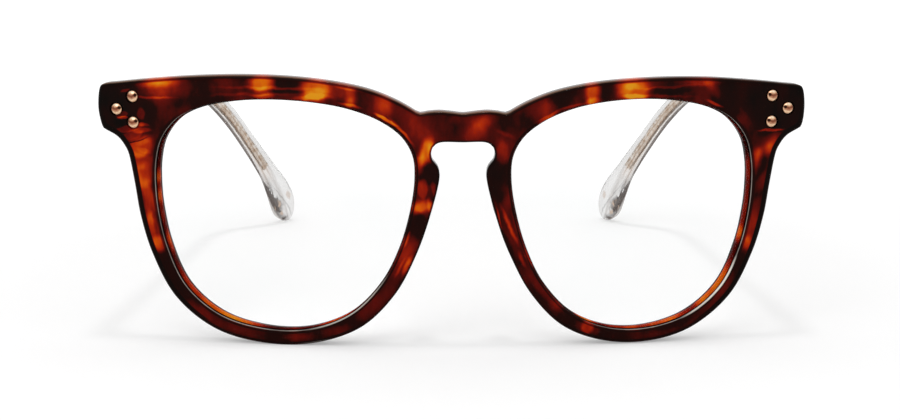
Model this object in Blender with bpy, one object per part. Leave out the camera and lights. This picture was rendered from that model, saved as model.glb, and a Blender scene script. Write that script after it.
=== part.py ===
"""A pair of acetate eyeglasses with a keyhole bridge, open and standing on their rims and temple tips.

The front is cut flat from sheet, rounded along its edges and wrapped to a slight curve.  Each temple
is swept along its centre line, from a mitred butt at the hinge to the paddle behind the ear.  The
right-hand pieces are modelled and the left-hand ones are their mirror images.  Metres, +Z up, the
front looks along -Y, and +X is the right of the picture.
"""

import math

import bmesh
import bpy
from mathutils import Matrix, Vector

MM = 0.001
DEG = math.pi / 180
MIRROR = Matrix.Scale(-1, 4, Vector((1, 0, 0)))

# Lens openings and the nose gap between them
lens_width = 49.8 * MM
lens_height = 47.0 * MM
bridge_gap = 19.0 * MM

# The front around the openings
front_thickness = 4.2 * MM
wrap_radius = 280.0 * MM
rim_bottom = 2.75 * MM
rim_temporal = 4.5 * MM
rim_nasal = 4.9 * MM
brow_height = 4.25 * MM
brow_fall = 2.1 * MM
endpiece_reach = 11.8 * MM
endpiece_height = 9.4 * MM
endpiece_corner = 2.1 * MM
endpiece_bulge = 0.3 * MM
bridge_drop = 7.0 * MM
bridge_height = 5.6 * MM
keyhole_wall = 3.2 * MM
keyhole_drop = 2.3 * MM
pad_step_drop = 6.4 * MM
edge_round = 0.75 * MM
opening_front_chamfer = 0.45 * MM
opening_rear_chamfer = 0.3 * MM
outline_step = 2.4 * MM
wrap_step = 7.3 * MM
merge_distance = 0.01 * MM
sharp_angle = 35 * DEG

# Lenses and the groove that holds them
lens_thickness = 1.8 * MM
lens_dome = 1.1 * MM
groove_place_share = 0.4
groove_depth = 0.9 * MM
groove_half_width = 1.0 * MM
lens_bite = 0.5 * MM
lens_side_clearance = 0.3 * MM
lens_outline_step = 2.4 * MM

# Pieces that touch on the real frame keep this gap
seat_gap = 0.3 * MM

# Nose pads glued behind the rims
pad_length = 16.5 * MM
pad_depth = 4.6 * MM
pad_width = 3.3 * MM
pad_rise = 2.4 * MM
pad_overhang = 0.35 * MM
pad_end_width_share = 0.55
pad_swell_power = 0.7

# Rivets in the end-pieces
rivet_head_radius = 1.15 * MM
rivet_head_height = 0.55 * MM
rivet_shank_radius = 0.6 * MM
rivet_depth = 1.7 * MM
rivet_pair_inset = 7.1 * MM
rivet_outer_inset = 3.7 * MM
rivet_pitch = 5.2 * MM
rivet_sides = 16
rivet_dome_rings = 3

# Hinge
barrel_radius = 1.35 * MM
barrel_bore = 0.8 * MM
barrel_clearance = 0.25 * MM
barrel_gap = 0.15 * MM
hinge_height = 7.0 * MM
barrel_count = 5
barrel_sides = 16
leaf_thickness = 1.0 * MM
front_leaf_length = 5.4 * MM
front_leaf_height = 7.8 * MM
temple_leaf_length = 8.6 * MM
temple_leaf_height = 5.6 * MM
anchor_length = 2.0 * MM
anchor_depth = 2.1 * MM
anchor_height = 2.4 * MM
front_neck_share = 0.6
temple_neck_share = 0.3
temple_leaf_start_share = 0.45
screw_radius = 0.55 * MM
screw_head_radius = 1.15 * MM
screw_head_height = 0.6 * MM
screw_slot_width = 0.35 * MM
screw_slot_depth = 0.3 * MM

# Temples
temple_length = 145.0 * MM
temple_thickness = 3.3 * MM
temple_tip_thickness = 2.7 * MM
temple_height_hinge = 8.6 * MM
temple_height_bend = 4.3 * MM
temple_height_paddle = 7.9 * MM
temple_edge_round = 0.9 * MM
temple_bend_start = 87.0 * MM
temple_bend_radius = 28.0 * MM
temple_bend_angle = 53.5 * DEG
temple_toe_in = 4.0 * DEG
temple_hook_inset = 13.8 * MM
temple_tip_twist = 33.0 * DEG
temple_tip_length = 7.0 * MM
temple_side_inset = 0.4 * MM
temple_lead = 3.0 * MM
temple_step = 5.2 * MM
temple_tip_rings = 5
temple_blunt_share = 0.18
temple_corner_share = 0.42
tangent_step = 0.5 * MM
steepest_slope = 30 * DEG
slope_halvings = 26

# Core wires
wire_width = 2.2 * MM
wire_thickness = 1.0 * MM
wire_end_from_tip = 18.0 * MM
wire_step = 7.0 * MM

# Cutters run past the faces that they cut by this much
overrun = 1.0 * MM

# Where one lens opening lies
lens_centre_x = bridge_gap / 2 + lens_width / 2
lens_centre_z = rim_bottom + lens_height / 2
lens_top = rim_bottom + lens_height

# Heights and reach of the front that follow from the openings
front_half_width = bridge_gap / 2 + lens_width + endpiece_reach
brow_top = lens_top + brow_height
endpiece_top = brow_top - brow_fall
endpiece_bottom = endpiece_top - endpiece_height
endpiece_middle = endpiece_top - endpiece_height / 2
bridge_top = brow_top - bridge_drop
arch_top = bridge_top - bridge_height
keyhole_half = bridge_gap / 2 - keyhole_wall
pad_step_half = bridge_gap / 2 - rim_nasal
pad_step_z = arch_top - pad_step_drop
groove_y = groove_place_share * front_thickness
rim_edge_x = bridge_gap / 2 + lens_width

# The hinge axis stands behind the end-piece and inside the temple
hinge_offset = barrel_radius + barrel_clearance
temple_inner_x = front_half_width - temple_side_inset - temple_thickness
hinge_x = temple_inner_x - hinge_offset
wrap_angle = math.asin(hinge_x / wrap_radius)

# The lens opening, as shares of its half width and half height, from the temple side upwards
lens_outline_shares = (
    (1.0, 0.25), (0.99, 0.46), (0.94, 0.65), (0.81, 0.82), (0.62, 0.925), (0.37, 0.983), (0.08, 1.0),
    (-0.25, 0.975), (-0.5, 0.922), (-0.73, 0.825), (-0.9, 0.69), (-0.985, 0.53), (-1.0, 0.34),
    (-0.962, 0.055), (-0.869, -0.278), (-0.723, -0.583), (-0.495, -0.843), (-0.178, -0.983),
    (0.169, -0.99), (0.506, -0.882), (0.77, -0.634), (0.916, -0.3), (0.98, 0.0),
)

# The lower rim: which point of the opening it lies outside, and how its width goes from the bottom's
# to the temple side's or the nose side's
temporal_rim_shares = ((0, 1.22), (22, 0.97), (21, 0.72), (20, 0.47), (19, 0.18), (18, 0.02))
nasal_rim_shares = ((17, 0.02), (16, 0.2), (15, 0.31), (14, 0.38), (13, 0.6))

# The brow: along from the bridge's corner to its peak and up, then along to the end-piece and down
brow_rise_shares = ((0.035, 0.085), (0.13, 0.33), (0.28, 0.6), (0.49, 0.82), (0.73, 0.955), (1.0, 1.0))
brow_fall_shares = ((0.34, 0.15), (0.66, 0.52), (0.88, 0.88))
brow_peak_share = 0.52
bridge_corner_share = 0.9
bridge_flat_share = 0.55

# The sweep from the end-piece down into the rim, as shares of the reach and of the end-piece's height
sweep_shares = ((0.84, 0.02), (0.655, 0.18), (0.55, 0.38), (0.495, 0.62))

# The keyhole and the step over the nose pad, as shares of their half widths and of the arch's drop
keyhole_shares = (
    (0.69, 0.0), (0.85, 0.17), (0.95, 0.45), (1.0, 1.0), (0.985, 1.3), (0.95, 1.55), (0.8, 2.05),
)

# How a temple's height goes from the hinge's to the bend's and then to the paddle's
temple_waist_shares = ((0.0, 0.0), (0.12, 0.16), (0.4, 0.75), (0.62, 1.0))
temple_paddle_shares = ((0.78, 0.0), (0.88, 0.38), (0.95, 1.0), (1.0, 1.0))
hook_inset_start_share = 0.1
hook_inset_end_share = 0.95
twist_end_share = 0.9

# The crown of a nose pad, as shares of its width and depth
pad_section_shares = (
    (0.0, 0.0), (-0.03, 0.3), (0.1, 0.72), (0.38, 0.98), (0.68, 0.92), (0.92, 0.5), (1.0, 0.0),
)
pad_stations = 9
lens_ring_shares = (1.0, 0.67, 0.34)


def clear_scene():
    for obj in list(bpy.data.objects):
        bpy.data.objects.remove(obj, do_unlink=True)


def material(name, colour, roughness, metallic=0.0, transmission=0.0):
    made = bpy.data.materials.new(name)
    made.use_nodes = True
    shader = made.node_tree.nodes["Principled BSDF"]
    shader.inputs["Base Color"].default_value = (*colour, 1.0)
    shader.inputs["Roughness"].default_value = roughness
    shader.inputs["Metallic"].default_value = metallic
    shader.inputs["Transmission Weight"].default_value = transmission
    made.diffuse_color = (*colour, 1.0)
    return made


def add_object(name, bm, finish):
    """Turn a bmesh into a named object of triangles with its faces out."""
    bmesh.ops.recalc_face_normals(bm, faces=bm.faces)
    bmesh.ops.triangulate(bm, faces=bm.faces)
    mesh = bpy.data.meshes.new(name)
    bm.to_mesh(mesh)
    bm.free()
    mesh.materials.append(finish)
    mesh.shade_smooth()
    mesh.set_sharp_from_angle(angle=sharp_angle)
    obj = bpy.data.objects.new(name, mesh)
    bpy.context.collection.objects.link(obj)
    return obj


def combine(target, tool, operation):
    """Apply a Boolean of the tool to the target and throw the tool away."""
    modifier = target.modifiers.new(operation.lower(), "BOOLEAN")
    modifier.operation = operation
    modifier.solver = "EXACT"
    modifier.object = tool
    bpy.context.view_layer.objects.active = target
    bpy.ops.object.modifier_apply(modifier=modifier.name)
    bpy.data.objects.remove(tool, do_unlink=True)


def mirrored(source, name):
    """The left-hand twin of a right-hand piece."""
    mesh = source.data.copy()
    mesh.name = name
    mesh.transform(MIRROR)
    mesh.flip_normals()
    obj = bpy.data.objects.new(name, mesh)
    bpy.context.collection.objects.link(obj)
    return obj


def sag(x):
    """How far the wrapped front falls back at a distance from its middle."""
    return wrap_radius - math.sqrt(wrap_radius ** 2 - x ** 2)


def curve_point(before, start, end, after, t):
    """A point between start and end on the smooth curve through four points."""
    knots = [0.0]
    for a, b in ((before, start), (start, end), (end, after)):
        knots.append(knots[-1] + math.sqrt((b - a).length))
    k0, k1, k2, k3 = knots
    u = k1 + (k2 - k1) * t
    a1 = before * ((k1 - u) / (k1 - k0)) + start * ((u - k0) / (k1 - k0))
    a2 = start * ((k2 - u) / (k2 - k1)) + end * ((u - k1) / (k2 - k1))
    a3 = end * ((k3 - u) / (k3 - k2)) + after * ((u - k2) / (k3 - k2))
    b1 = a1 * ((k2 - u) / (k2 - k0)) + a2 * ((u - k0) / (k2 - k0))
    b2 = a2 * ((k3 - u) / (k3 - k1)) + a3 * ((u - k1) / (k3 - k1))
    return b1 * ((k2 - u) / (k2 - k1)) + b2 * ((u - k1) / (k2 - k1))


def smooth_loop(points, step):
    """A closed smooth curve through the points, with corners about one step apart."""
    points = [Vector(point) for point in points]
    count = len(points)
    loop = []
    for i in range(count):
        before, start, end, after = (points[(i + k) % count] for k in (-1, 0, 1, 2))
        pieces = max(1, round((end - start).length / step))
        for k in range(pieces):
            loop.append(curve_point(before, start, end, after, k / pieces))
    return loop


def offset_loop(loop, distance):
    """A loop that runs anticlockwise, moved outwards by a distance."""
    count = len(loop)
    moved = []
    for i, point in enumerate(loop):
        along = (point - loop[i - 1]).normalized() + (loop[(i + 1) % count] - point).normalized()
        along.normalize()
        moved.append(point + Vector((along.y, -along.x)) * distance)
    return moved


def share_between(table, at):
    """Read a table of (place share, value share) with straight lines between its rows."""
    for (place_a, value_a), (place_b, value_b) in zip(table, table[1:]):
        if at <= place_b:
            return value_a + (value_b - value_a) * max(0.0, at - place_a) / (place_b - place_a)
    return table[-1][1]


def ease(t):
    t = min(max(t, 0.0), 1.0)
    return t * t * (3 - 2 * t)


# Outlines of the front


def lens_point(share_x, share_z):
    return Vector((lens_centre_x + share_x * lens_width / 2, lens_centre_z + share_z * lens_height / 2))


def rim_point(index, width):
    """A point of the outer edge, a rim's width outside a point of the opening."""
    count = len(lens_outline_shares)
    point = lens_point(*lens_outline_shares[index])
    before = lens_point(*lens_outline_shares[index - 1])
    after = lens_point(*lens_outline_shares[(index + 1) % count])
    along = (after - before).normalized()
    return point + Vector((along.y, -along.x)) * width


def rounded_corner(corner, side_a, side_b, radius):
    """Three points of the arc that rounds a square corner between two directions."""
    centre = corner + (side_a + side_b) * radius
    middle = centre + (corner - centre).normalized() * radius
    return [centre - side_b * radius, middle, centre - side_a * radius]


def half_outline():
    """The outer edge's right half, from the bridge's top out, down and back to the keyhole's top."""
    corner_x = bridge_corner_share * bridge_gap / 2
    peak_x = corner_x + (front_half_width - corner_x) * brow_peak_share
    side_x = front_half_width - endpiece_bulge
    left = Vector((-1, 0))
    down = Vector((0, -1))
    points = [Vector((0, bridge_top)), Vector((corner_x * bridge_flat_share, bridge_top))]
    for along, up in brow_rise_shares:
        points.append(Vector((corner_x + (peak_x - corner_x) * along, bridge_top + bridge_drop * up)))
    for along, fall in brow_fall_shares:
        points.append(Vector((peak_x + (side_x - peak_x) * along, brow_top - brow_fall * fall)))
    points += rounded_corner(Vector((side_x, endpiece_top)), left, down, endpiece_corner)
    points.append(Vector((front_half_width, endpiece_middle)))
    points += rounded_corner(Vector((side_x, endpiece_bottom)), -down, left, endpiece_corner)[:2]
    for out, fall in sweep_shares:
        points.append(Vector((rim_edge_x + endpiece_reach * out, endpiece_bottom - endpiece_height * fall)))
    for index, share in temporal_rim_shares:
        points.append(rim_point(index, rim_bottom + (rim_temporal - rim_bottom) * share))
    for index, share in nasal_rim_shares:
        points.append(rim_point(index, rim_bottom + (rim_nasal - rim_bottom) * share))
    points.append(Vector((pad_step_half, pad_step_z)))
    for across, drop in reversed(keyhole_shares):
        points.append(Vector((keyhole_half * across, arch_top - keyhole_drop * drop)))
    points.append(Vector((0, arch_top)))
    return points


def outer_outline():
    """The whole outer edge, anticlockwise."""
    half = half_outline()
    other = [Vector((-point.x, point.y)) for point in reversed(half[1:-1])]
    return smooth_loop(list(reversed(half + other)), outline_step)


def lens_outline(side):
    """The edge of one lens opening, anticlockwise."""
    loop = smooth_loop([lens_point(*share) for share in lens_outline_shares], lens_outline_step)
    if side > 0:
        return loop
    return [Vector((-point.x, point.y)) for point in reversed(loop)]


# The front


def add_ring(bm, loop, y):
    return [bm.verts.new((point.x, y, point.y)) for point in loop]


def bridge_rings(bm, ring_a, ring_b):
    count = len(ring_a)
    for i in range(count):
        j = (i + 1) % count
        bm.faces.new((ring_a[i], ring_a[j], ring_b[j], ring_b[i]))


def wall(bm, loop, profile):
    """Walls along a loop through (outward offset, y) layers; returns the first and last rings."""
    rings = [add_ring(bm, offset_loop(loop, out), y) for out, y in profile]
    for ring_a, ring_b in zip(rings, rings[1:]):
        bridge_rings(bm, ring_a, ring_b)
    return rings[0], rings[-1]


def ring_edges(bm, ring):
    return [bm.edges.get((ring[i - 1], ring[i])) for i in range(len(ring))]


def outer_profile():
    """The rounded outer edge, from the front face to the rear face."""
    turned_in = edge_round * (1 - math.sqrt(0.5))
    back = front_thickness
    return (
        (-edge_round, 0), (-turned_in, turned_in), (0, edge_round),
        (0, back - edge_round), (-turned_in, back - turned_in), (-edge_round, back),
    )


def opening_profile():
    """The lens opening's wall with its groove, from the front face to the rear face."""
    return (
        (opening_front_chamfer, 0), (0, opening_front_chamfer), (0, groove_y - groove_half_width),
        (groove_depth, groove_y), (0, groove_y + groove_half_width),
        (0, front_thickness - opening_rear_chamfer), (opening_rear_chamfer, front_thickness),
    )


def make_front(finish):
    bm = bmesh.new()
    front_edges = []
    rear_edges = []
    for loop, profile in (
        (outer_outline(), outer_profile()),
        (lens_outline(1), opening_profile()),
        (lens_outline(-1), opening_profile()),
    ):
        first, last = wall(bm, loop, profile)
        front_edges += ring_edges(bm, first)
        rear_edges += ring_edges(bm, last)
    for edges in (front_edges, rear_edges):
        bmesh.ops.triangle_fill(bm, edges=edges, use_beauty=True)
    steps = int(front_half_width / wrap_step)
    for k in range(-steps, steps + 1):
        bmesh.ops.bisect_plane(
            bm, geom=bm.verts[:] + bm.edges[:] + bm.faces[:], dist=merge_distance,
            plane_co=(k * wrap_step, 0, 0), plane_no=(1, 0, 0),
        )
    for vert in bm.verts:
        vert.co.y += sag(vert.co.x)
    return add_object("front", bm, finish)


def make_lens(name, finish):
    """A demo lens with a bevelled edge that sits in the rim's groove."""
    bm = bmesh.new()
    loop = lens_outline(1)
    centre = Vector((lens_centre_x, lens_centre_z))
    edge = add_ring(bm, offset_loop(loop, lens_bite), groove_y)
    inner = offset_loop(loop, -lens_side_clearance)
    for side in (-1, 1):
        face_y = groove_y + side * lens_thickness / 2
        rings = []
        for share in lens_ring_shares:
            shrunk = [centre + (point - centre) * share for point in inner]
            rings.append(add_ring(bm, shrunk, face_y - lens_dome * (1 - share ** 2)))
        bridge_rings(bm, edge, rings[0])
        for ring_a, ring_b in zip(rings, rings[1:]):
            bridge_rings(bm, ring_a, ring_b)
        pole = bm.verts.new((centre.x, face_y - lens_dome, centre.y))
        last = rings[-1]
        for i in range(len(last)):
            bm.faces.new((last[i - 1], last[i], pole))
    for vert in bm.verts:
        vert.co.y += sag(vert.co.x)
    return add_object(name, bm, finish)


def nose_edge_x(z):
    """The right rim's edge on the nose side at a height, read along the outer edge's own points."""
    half = half_outline()
    nose = half[-2 - len(keyhole_shares) - len(nasal_rim_shares):]
    for lower, upper in zip(nose, nose[1:]):
        if lower.y <= z <= upper.y:
            return lower.x + (upper.x - lower.x) * (z - lower.y) / (upper.y - lower.y)
    return pad_step_half


def make_pad(name, finish):
    """A nose pad: a crescent of acetate glued to the rear of the rim."""
    bm = bmesh.new()
    top = pad_step_z + pad_rise
    rings = []
    for i in range(1, pad_stations):
        t = i / pad_stations
        z = top - pad_length * t
        swell = math.sin(math.pi * t) ** pad_swell_power
        width = pad_width * (pad_end_width_share + (1 - pad_end_width_share) * swell)
        middle = nose_edge_x(z) - pad_overhang + pad_width / 2
        ring = []
        for across, back in pad_section_shares:
            x = middle + width * (across - 0.5)
            y = front_thickness + seat_gap + sag(x) + back * pad_depth * swell
            ring.append(bm.verts.new((x, y, z)))
        rings.append(ring)
    for ring_a, ring_b in zip(rings, rings[1:]):
        bridge_rings(bm, ring_a, ring_b)
    bm.faces.new(rings[0])
    bm.faces.new(rings[-1])
    return add_object(name, bm, finish)


# Turned and boxed shapes for the hardware


def turned(name, profile, place, sides, finish):
    """A solid turned about its local Z axis through (radius, height) points."""
    bm = bmesh.new()
    rings = []
    for radius, height in profile:
        if radius == 0:
            rings.append([bm.verts.new((0, 0, height))])
            continue
        turn = 2 * math.pi / sides
        rings.append([
            bm.verts.new((radius * math.cos(turn * k), radius * math.sin(turn * k), height))
            for k in range(sides)
        ])
    for ring_a, ring_b in zip(rings, rings[1:]):
        for k in range(sides):
            j = (k + 1) % sides
            corners = [ring_a[k % len(ring_a)], ring_a[j % len(ring_a)]]
            corners += [ring_b[j % len(ring_b)], ring_b[k % len(ring_b)]]
            bm.faces.new(list(dict.fromkeys(corners)))
    for ring in (rings[0], rings[-1]):
        if len(ring) > 1:
            bm.faces.new(ring)
    bm.transform(place)
    return add_object(name, bm, finish)


def box(name, low, high, place, finish):
    """A box between two corners of a local frame."""
    bm = bmesh.new()
    bmesh.ops.create_cube(bm, size=1.0)
    low, high = Vector(low), Vector(high)
    size = Matrix.Diagonal((*(high - low), 1.0))
    bm.transform(place @ Matrix.Translation((low + high) / 2) @ size)
    return add_object(name, bm, finish)


def rod(name, radius, low, high, place, finish, sides=barrel_sides):
    return turned(name, ((radius, low), (radius, high)), place, sides, finish)


# Rivets


def rivet_places():
    """Each rivet's name and its frame, with local Z pointing out of the front face."""
    pair_x = front_half_width - rivet_pair_inset
    outer_x = front_half_width - rivet_outer_inset
    spots = (
        ("upper", pair_x, endpiece_middle + rivet_pitch / 2),
        ("lower", pair_x, endpiece_middle - rivet_pitch / 2),
        ("outer", outer_x, endpiece_middle),
    )
    places = []
    for name, x, z in spots:
        tilt = math.asin(x / wrap_radius)
        place = Matrix.Translation((x, sag(x), z)) @ Matrix.Rotation(tilt, 4, "Z")
        places.append((name, place @ Matrix.Rotation(math.pi / 2, 4, "X")))
    return places


def rivet_profile():
    """A domed head over a plain shank."""
    dome = (rivet_head_radius ** 2 + rivet_head_height ** 2) / (2 * rivet_head_height)
    span = math.asin(rivet_head_radius / dome)
    cap = []
    for k in range(rivet_dome_rings):
        angle = span * (1 - k / rivet_dome_rings)
        cap.append((dome * math.sin(angle), rivet_head_height - dome * (1 - math.cos(angle))))
    cap.append((0, rivet_head_height))
    return [(rivet_shank_radius, -rivet_depth), (rivet_shank_radius, 0)] + cap


def cut_rivet_hole(target, place, finish):
    """A blind hole with a shallow seat for the head."""
    depth = rivet_depth + seat_gap
    hole = rivet_shank_radius + seat_gap
    seat = rivet_head_radius + seat_gap
    profile = ((hole, -depth), (hole, -seat_gap), (seat, -seat_gap), (seat, overrun))
    combine(target, turned("rivet_hole", profile, place, rivet_sides, finish), "DIFFERENCE")


# Hinges


def hinge_place(angle):
    """A frame on the hinge axis, turned about it; local X runs outwards and Y rearwards."""
    y = sag(hinge_x) + front_thickness + hinge_offset / math.cos(wrap_angle)
    return Matrix.Translation((hinge_x, y, endpiece_middle)) @ Matrix.Rotation(angle, 4, "Z")


def barrel_span(index):
    """The lowest and highest points of one barrel, counted from the bottom."""
    height = (hinge_height - barrel_gap * (barrel_count - 1)) / barrel_count
    low = -hinge_height / 2 + index * (height + barrel_gap)
    return low, low + height


def front_leaf_corners(gap):
    """The front leaf's plate in the hinge frame, grown by a gap on its sides and bottom."""
    low = (barrel_radius - front_leaf_length - gap, -hinge_offset - leaf_thickness - gap,
           -front_leaf_height / 2 - gap)
    high = (barrel_radius + gap, -hinge_offset, front_leaf_height / 2 + gap)
    return low, high


def knuckle(index, sides, place, finish):
    """One barrel and its neck, cut as one block; the neck runs along local X between its two sides."""
    reach = hinge_offset + leaf_thickness / 2
    start = math.asin(sides[1] / barrel_radius)
    end = 2 * math.pi + math.asin(sides[0] / barrel_radius)
    outline = [(reach, sides[0]), (reach, sides[1])]
    for k in range(barrel_sides + 1):
        angle = start + (end - start) * k / barrel_sides
        outline.append((barrel_radius * math.cos(angle), barrel_radius * math.sin(angle)))
    rings = [[place @ Vector((x, y, z)) for x, y in outline] for z in barrel_span(index)]
    return swept("knuckle", rings, finish)


def cut_bore(leaf, place, finish):
    reach = hinge_height / 2 + overrun
    combine(leaf, rod("bore", barrel_bore, -reach, reach, place, finish), "DIFFERENCE")


def make_front_leaf(name, finish):
    place = hinge_place(wrap_angle)
    leaf = box(name, *front_leaf_corners(0), place, finish)
    forward = place @ Matrix.Rotation(-math.pi / 2, 4, "Z")
    sides = (-barrel_radius, barrel_radius * front_neck_share)
    for index in range(0, barrel_count, 2):
        combine(leaf, knuckle(index, sides, forward, finish), "UNION")
    cut_bore(leaf, place, finish)
    return leaf


def temple_leaf_plates(gap):
    """The temple leaf's plate and its anchor for the core wire, grown by a gap."""
    start = -barrel_radius * temple_leaf_start_share
    end = start + temple_leaf_length
    plate = (
        (hinge_offset, start - gap, -temple_leaf_height / 2 - gap),
        (hinge_offset + leaf_thickness + gap, end + gap, temple_leaf_height / 2 + gap),
    )
    anchor = (
        (hinge_offset, end - anchor_length - gap, -anchor_height / 2 - gap),
        (hinge_offset + anchor_depth + gap, end + gap, anchor_height / 2 + gap),
    )
    return plate, anchor


def make_temple_leaf(name, finish):
    place = hinge_place(temple_toe_in)
    plate, anchor = temple_leaf_plates(0)
    leaf = box(name, *plate, place, finish)
    combine(leaf, box("anchor", *anchor, place, finish), "UNION")
    sides = (-barrel_radius * temple_neck_share, barrel_radius)
    for index in range(1, barrel_count, 2):
        combine(leaf, knuckle(index, sides, place, finish), "UNION")
    cut_bore(leaf, place, finish)
    return leaf


def make_screw(name, finish):
    """The hinge screw, its slotted head over the top barrel."""
    place = hinge_place(wrap_angle)
    under_head = hinge_height / 2 + barrel_gap
    top = under_head + screw_head_height
    profile = (
        (screw_radius, -hinge_height / 2), (screw_radius, under_head),
        (screw_head_radius, under_head), (screw_head_radius, top),
    )
    screw = turned(name, profile, place, barrel_sides, finish)
    slot = box("slot", (-screw_head_radius - overrun, -screw_slot_width / 2, top - screw_slot_depth),
               (screw_head_radius + overrun, screw_slot_width / 2, top + overrun), place, finish)
    combine(screw, slot, "DIFFERENCE")
    return screw


# Temples


def centre_line(slope, distance):
    """A point of a temple's centre line in the hinge frame: straight, round the bend, straight again."""
    straight = min(distance, temple_bend_start)
    turned_by = min(max((distance - temple_bend_start) / temple_bend_radius, 0), temple_bend_angle)
    hook = max(distance - temple_bend_start - temple_bend_radius * temple_bend_angle, 0)
    here = slope + turned_by
    ahead = straight * math.cos(slope) + hook * math.cos(here)
    ahead += temple_bend_radius * (math.sin(here) - math.sin(slope))
    down = straight * math.sin(slope) + hook * math.sin(here)
    down += temple_bend_radius * (math.cos(slope) - math.cos(here))
    span = hook_inset_end_share - hook_inset_start_share
    inset = temple_hook_inset * ease((hook_share(distance) - hook_inset_start_share) / span)
    return Vector((hinge_offset + temple_thickness / 2 - inset, ahead, -down))


def hook_share(distance):
    """How far along the hook, from the bend's start to the tip, a distance lies."""
    return (distance - temple_bend_start) / (temple_length - temple_bend_start)


def temple_frame(slope, distance):
    """The centre line's point at a distance, and the directions across and up there."""
    place = hinge_place(temple_toe_in)
    ahead = centre_line(slope, distance + tangent_step) - centre_line(slope, distance - tangent_step)
    ahead.normalize()
    level_up = Vector((1, 0, 0)).cross(ahead).normalized()
    twist = temple_tip_twist * ease(hook_share(distance) / twist_end_share)
    up = Matrix.Rotation(-twist, 3, ahead) @ level_up
    rotate = place.to_3x3()
    return place @ centre_line(slope, distance), rotate @ ahead.cross(up), rotate @ up


def stations(start, end, step):
    """Evenly spaced distances, about a step apart."""
    count = max(2, math.ceil((end - start) / step))
    return [start + (end - start) * k / count for k in range(count + 1)]


def temple_height_at(distance):
    share = distance / temple_length
    height = temple_height_hinge
    height += (temple_height_bend - temple_height_hinge) * share_between(temple_waist_shares, share)
    paddle = share_between(temple_paddle_shares, share)
    return height + (temple_height_paddle - temple_height_bend) * ease(paddle)


def temple_thickness_at(distance):
    return temple_thickness + (temple_tip_thickness - temple_thickness) * ease(hook_share(distance))


def section_points(thickness, height, radius):
    """A rectangle with rounded corners, anticlockwise, three points to a corner."""
    points = []
    for side_a, side_b in ((1, 1), (-1, 1), (-1, -1), (1, -1)):
        centre = (side_a * (thickness / 2 - radius), side_b * (height / 2 - radius))
        arc = [(side_a, 0), (side_a * math.sqrt(0.5), side_b * math.sqrt(0.5)), (0, side_b)]
        if side_a != side_b:
            arc.reverse()
        points += [(centre[0] + a * radius, centre[1] + b * radius) for a, b in arc]
    return points


def temple_rings(slope):
    """Every section of a temple, closed down to a rounded end at its tip."""
    tip_start = temple_length - temple_tip_length
    sections = [(distance, 1) for distance in stations(-temple_lead, tip_start, temple_step)]
    for k in range(1, temple_tip_rings + 1):
        angle = k * math.pi / 2 / temple_tip_rings
        scale = max(math.cos(angle), temple_blunt_share)
        sections.append((tip_start + temple_tip_length * math.sin(angle), scale))
    rings = []
    for distance, scale in sections:
        centre, across, up = temple_frame(slope, distance)
        thickness = temple_thickness_at(distance) * math.sqrt(scale)
        height = temple_height_at(distance) * scale
        radius = min(temple_edge_round * scale, min(thickness, height) * temple_corner_share)
        rings.append([centre + across * a + up * b for a, b in section_points(thickness, height, radius)])
    return rings


def resting_slope():
    """The downward slope at which the temple's tip comes down to the level of the rims."""
    low = -steepest_slope
    high = steepest_slope
    for _ in range(slope_halvings):
        middle = (low + high) / 2
        lowest = min(point.z for ring in temple_rings(middle) for point in ring)
        if lowest > 0:
            low = middle
        else:
            high = middle
    return middle


def swept(name, rings, finish):
    """A closed solid through rings of points."""
    bm = bmesh.new()
    made = [[bm.verts.new(point) for point in ring] for ring in rings]
    for ring_a, ring_b in zip(made, made[1:]):
        bridge_rings(bm, ring_a, ring_b)
    bm.faces.new(made[0])
    bm.faces.new(made[-1])
    return add_object(name, bm, finish)


def wire_rings(slope, gap, start, end):
    """Flat sections along the wire's route inside the temple, grown by a gap."""
    half_a = wire_thickness / 2 + gap
    half_b = wire_width / 2 + gap
    corners = ((half_a, half_b), (-half_a, half_b), (-half_a, -half_b), (half_a, -half_b))
    rings = []
    for distance in stations(start, end, wire_step):
        centre, across, up = temple_frame(slope, distance)
        rings.append([centre + across * a + up * b for a, b in corners])
    return rings


def wire_start():
    return temple_leaf_length - barrel_radius * temple_leaf_start_share + seat_gap


def make_temple(name, slope, finish):
    """A temple with its mitred butt, the wire's channel and the hinge leaf's pocket, open at the butt."""
    temple = swept(name, temple_rings(slope), finish)
    far = hinge_offset + temple_thickness + temple_lead + overrun
    tall = temple_height_hinge
    low = (-far, -far, -tall)
    high = (far, seat_gap - hinge_offset, tall)
    combine(temple, box("mitre", low, high, hinge_place(wrap_angle), finish), "DIFFERENCE")
    channel_start = wire_start() - overrun
    channel_end = temple_length - wire_end_from_tip + seat_gap
    channel = swept("channel", wire_rings(slope, seat_gap, channel_start, channel_end), finish)
    combine(temple, channel, "DIFFERENCE")
    plate, anchor = temple_leaf_plates(seat_gap)
    for (low, high), start in ((plate, -far), (anchor, anchor[0][1])):
        from_inside = (low[0] - overrun, start, low[2])
        pocket = box("pocket", from_inside, high, hinge_place(temple_toe_in), finish)
        combine(temple, pocket, "DIFFERENCE")
    return temple


def make_wire(name, slope, finish):
    end = temple_length - wire_end_from_tip
    return swept(name, wire_rings(slope, 0, wire_start(), end), finish)


# Putting the pieces together


def empty(name, location, parent=None):
    made = bpy.data.objects.new(name, None)
    bpy.context.collection.objects.link(made)
    made.location = location
    made.parent = parent
    return made


def attach(obj, parent):
    """Hang a piece on an empty, with its own origin on the empty's place."""
    obj.data.transform(Matrix.Translation(-parent.location))
    obj.parent = parent


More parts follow.
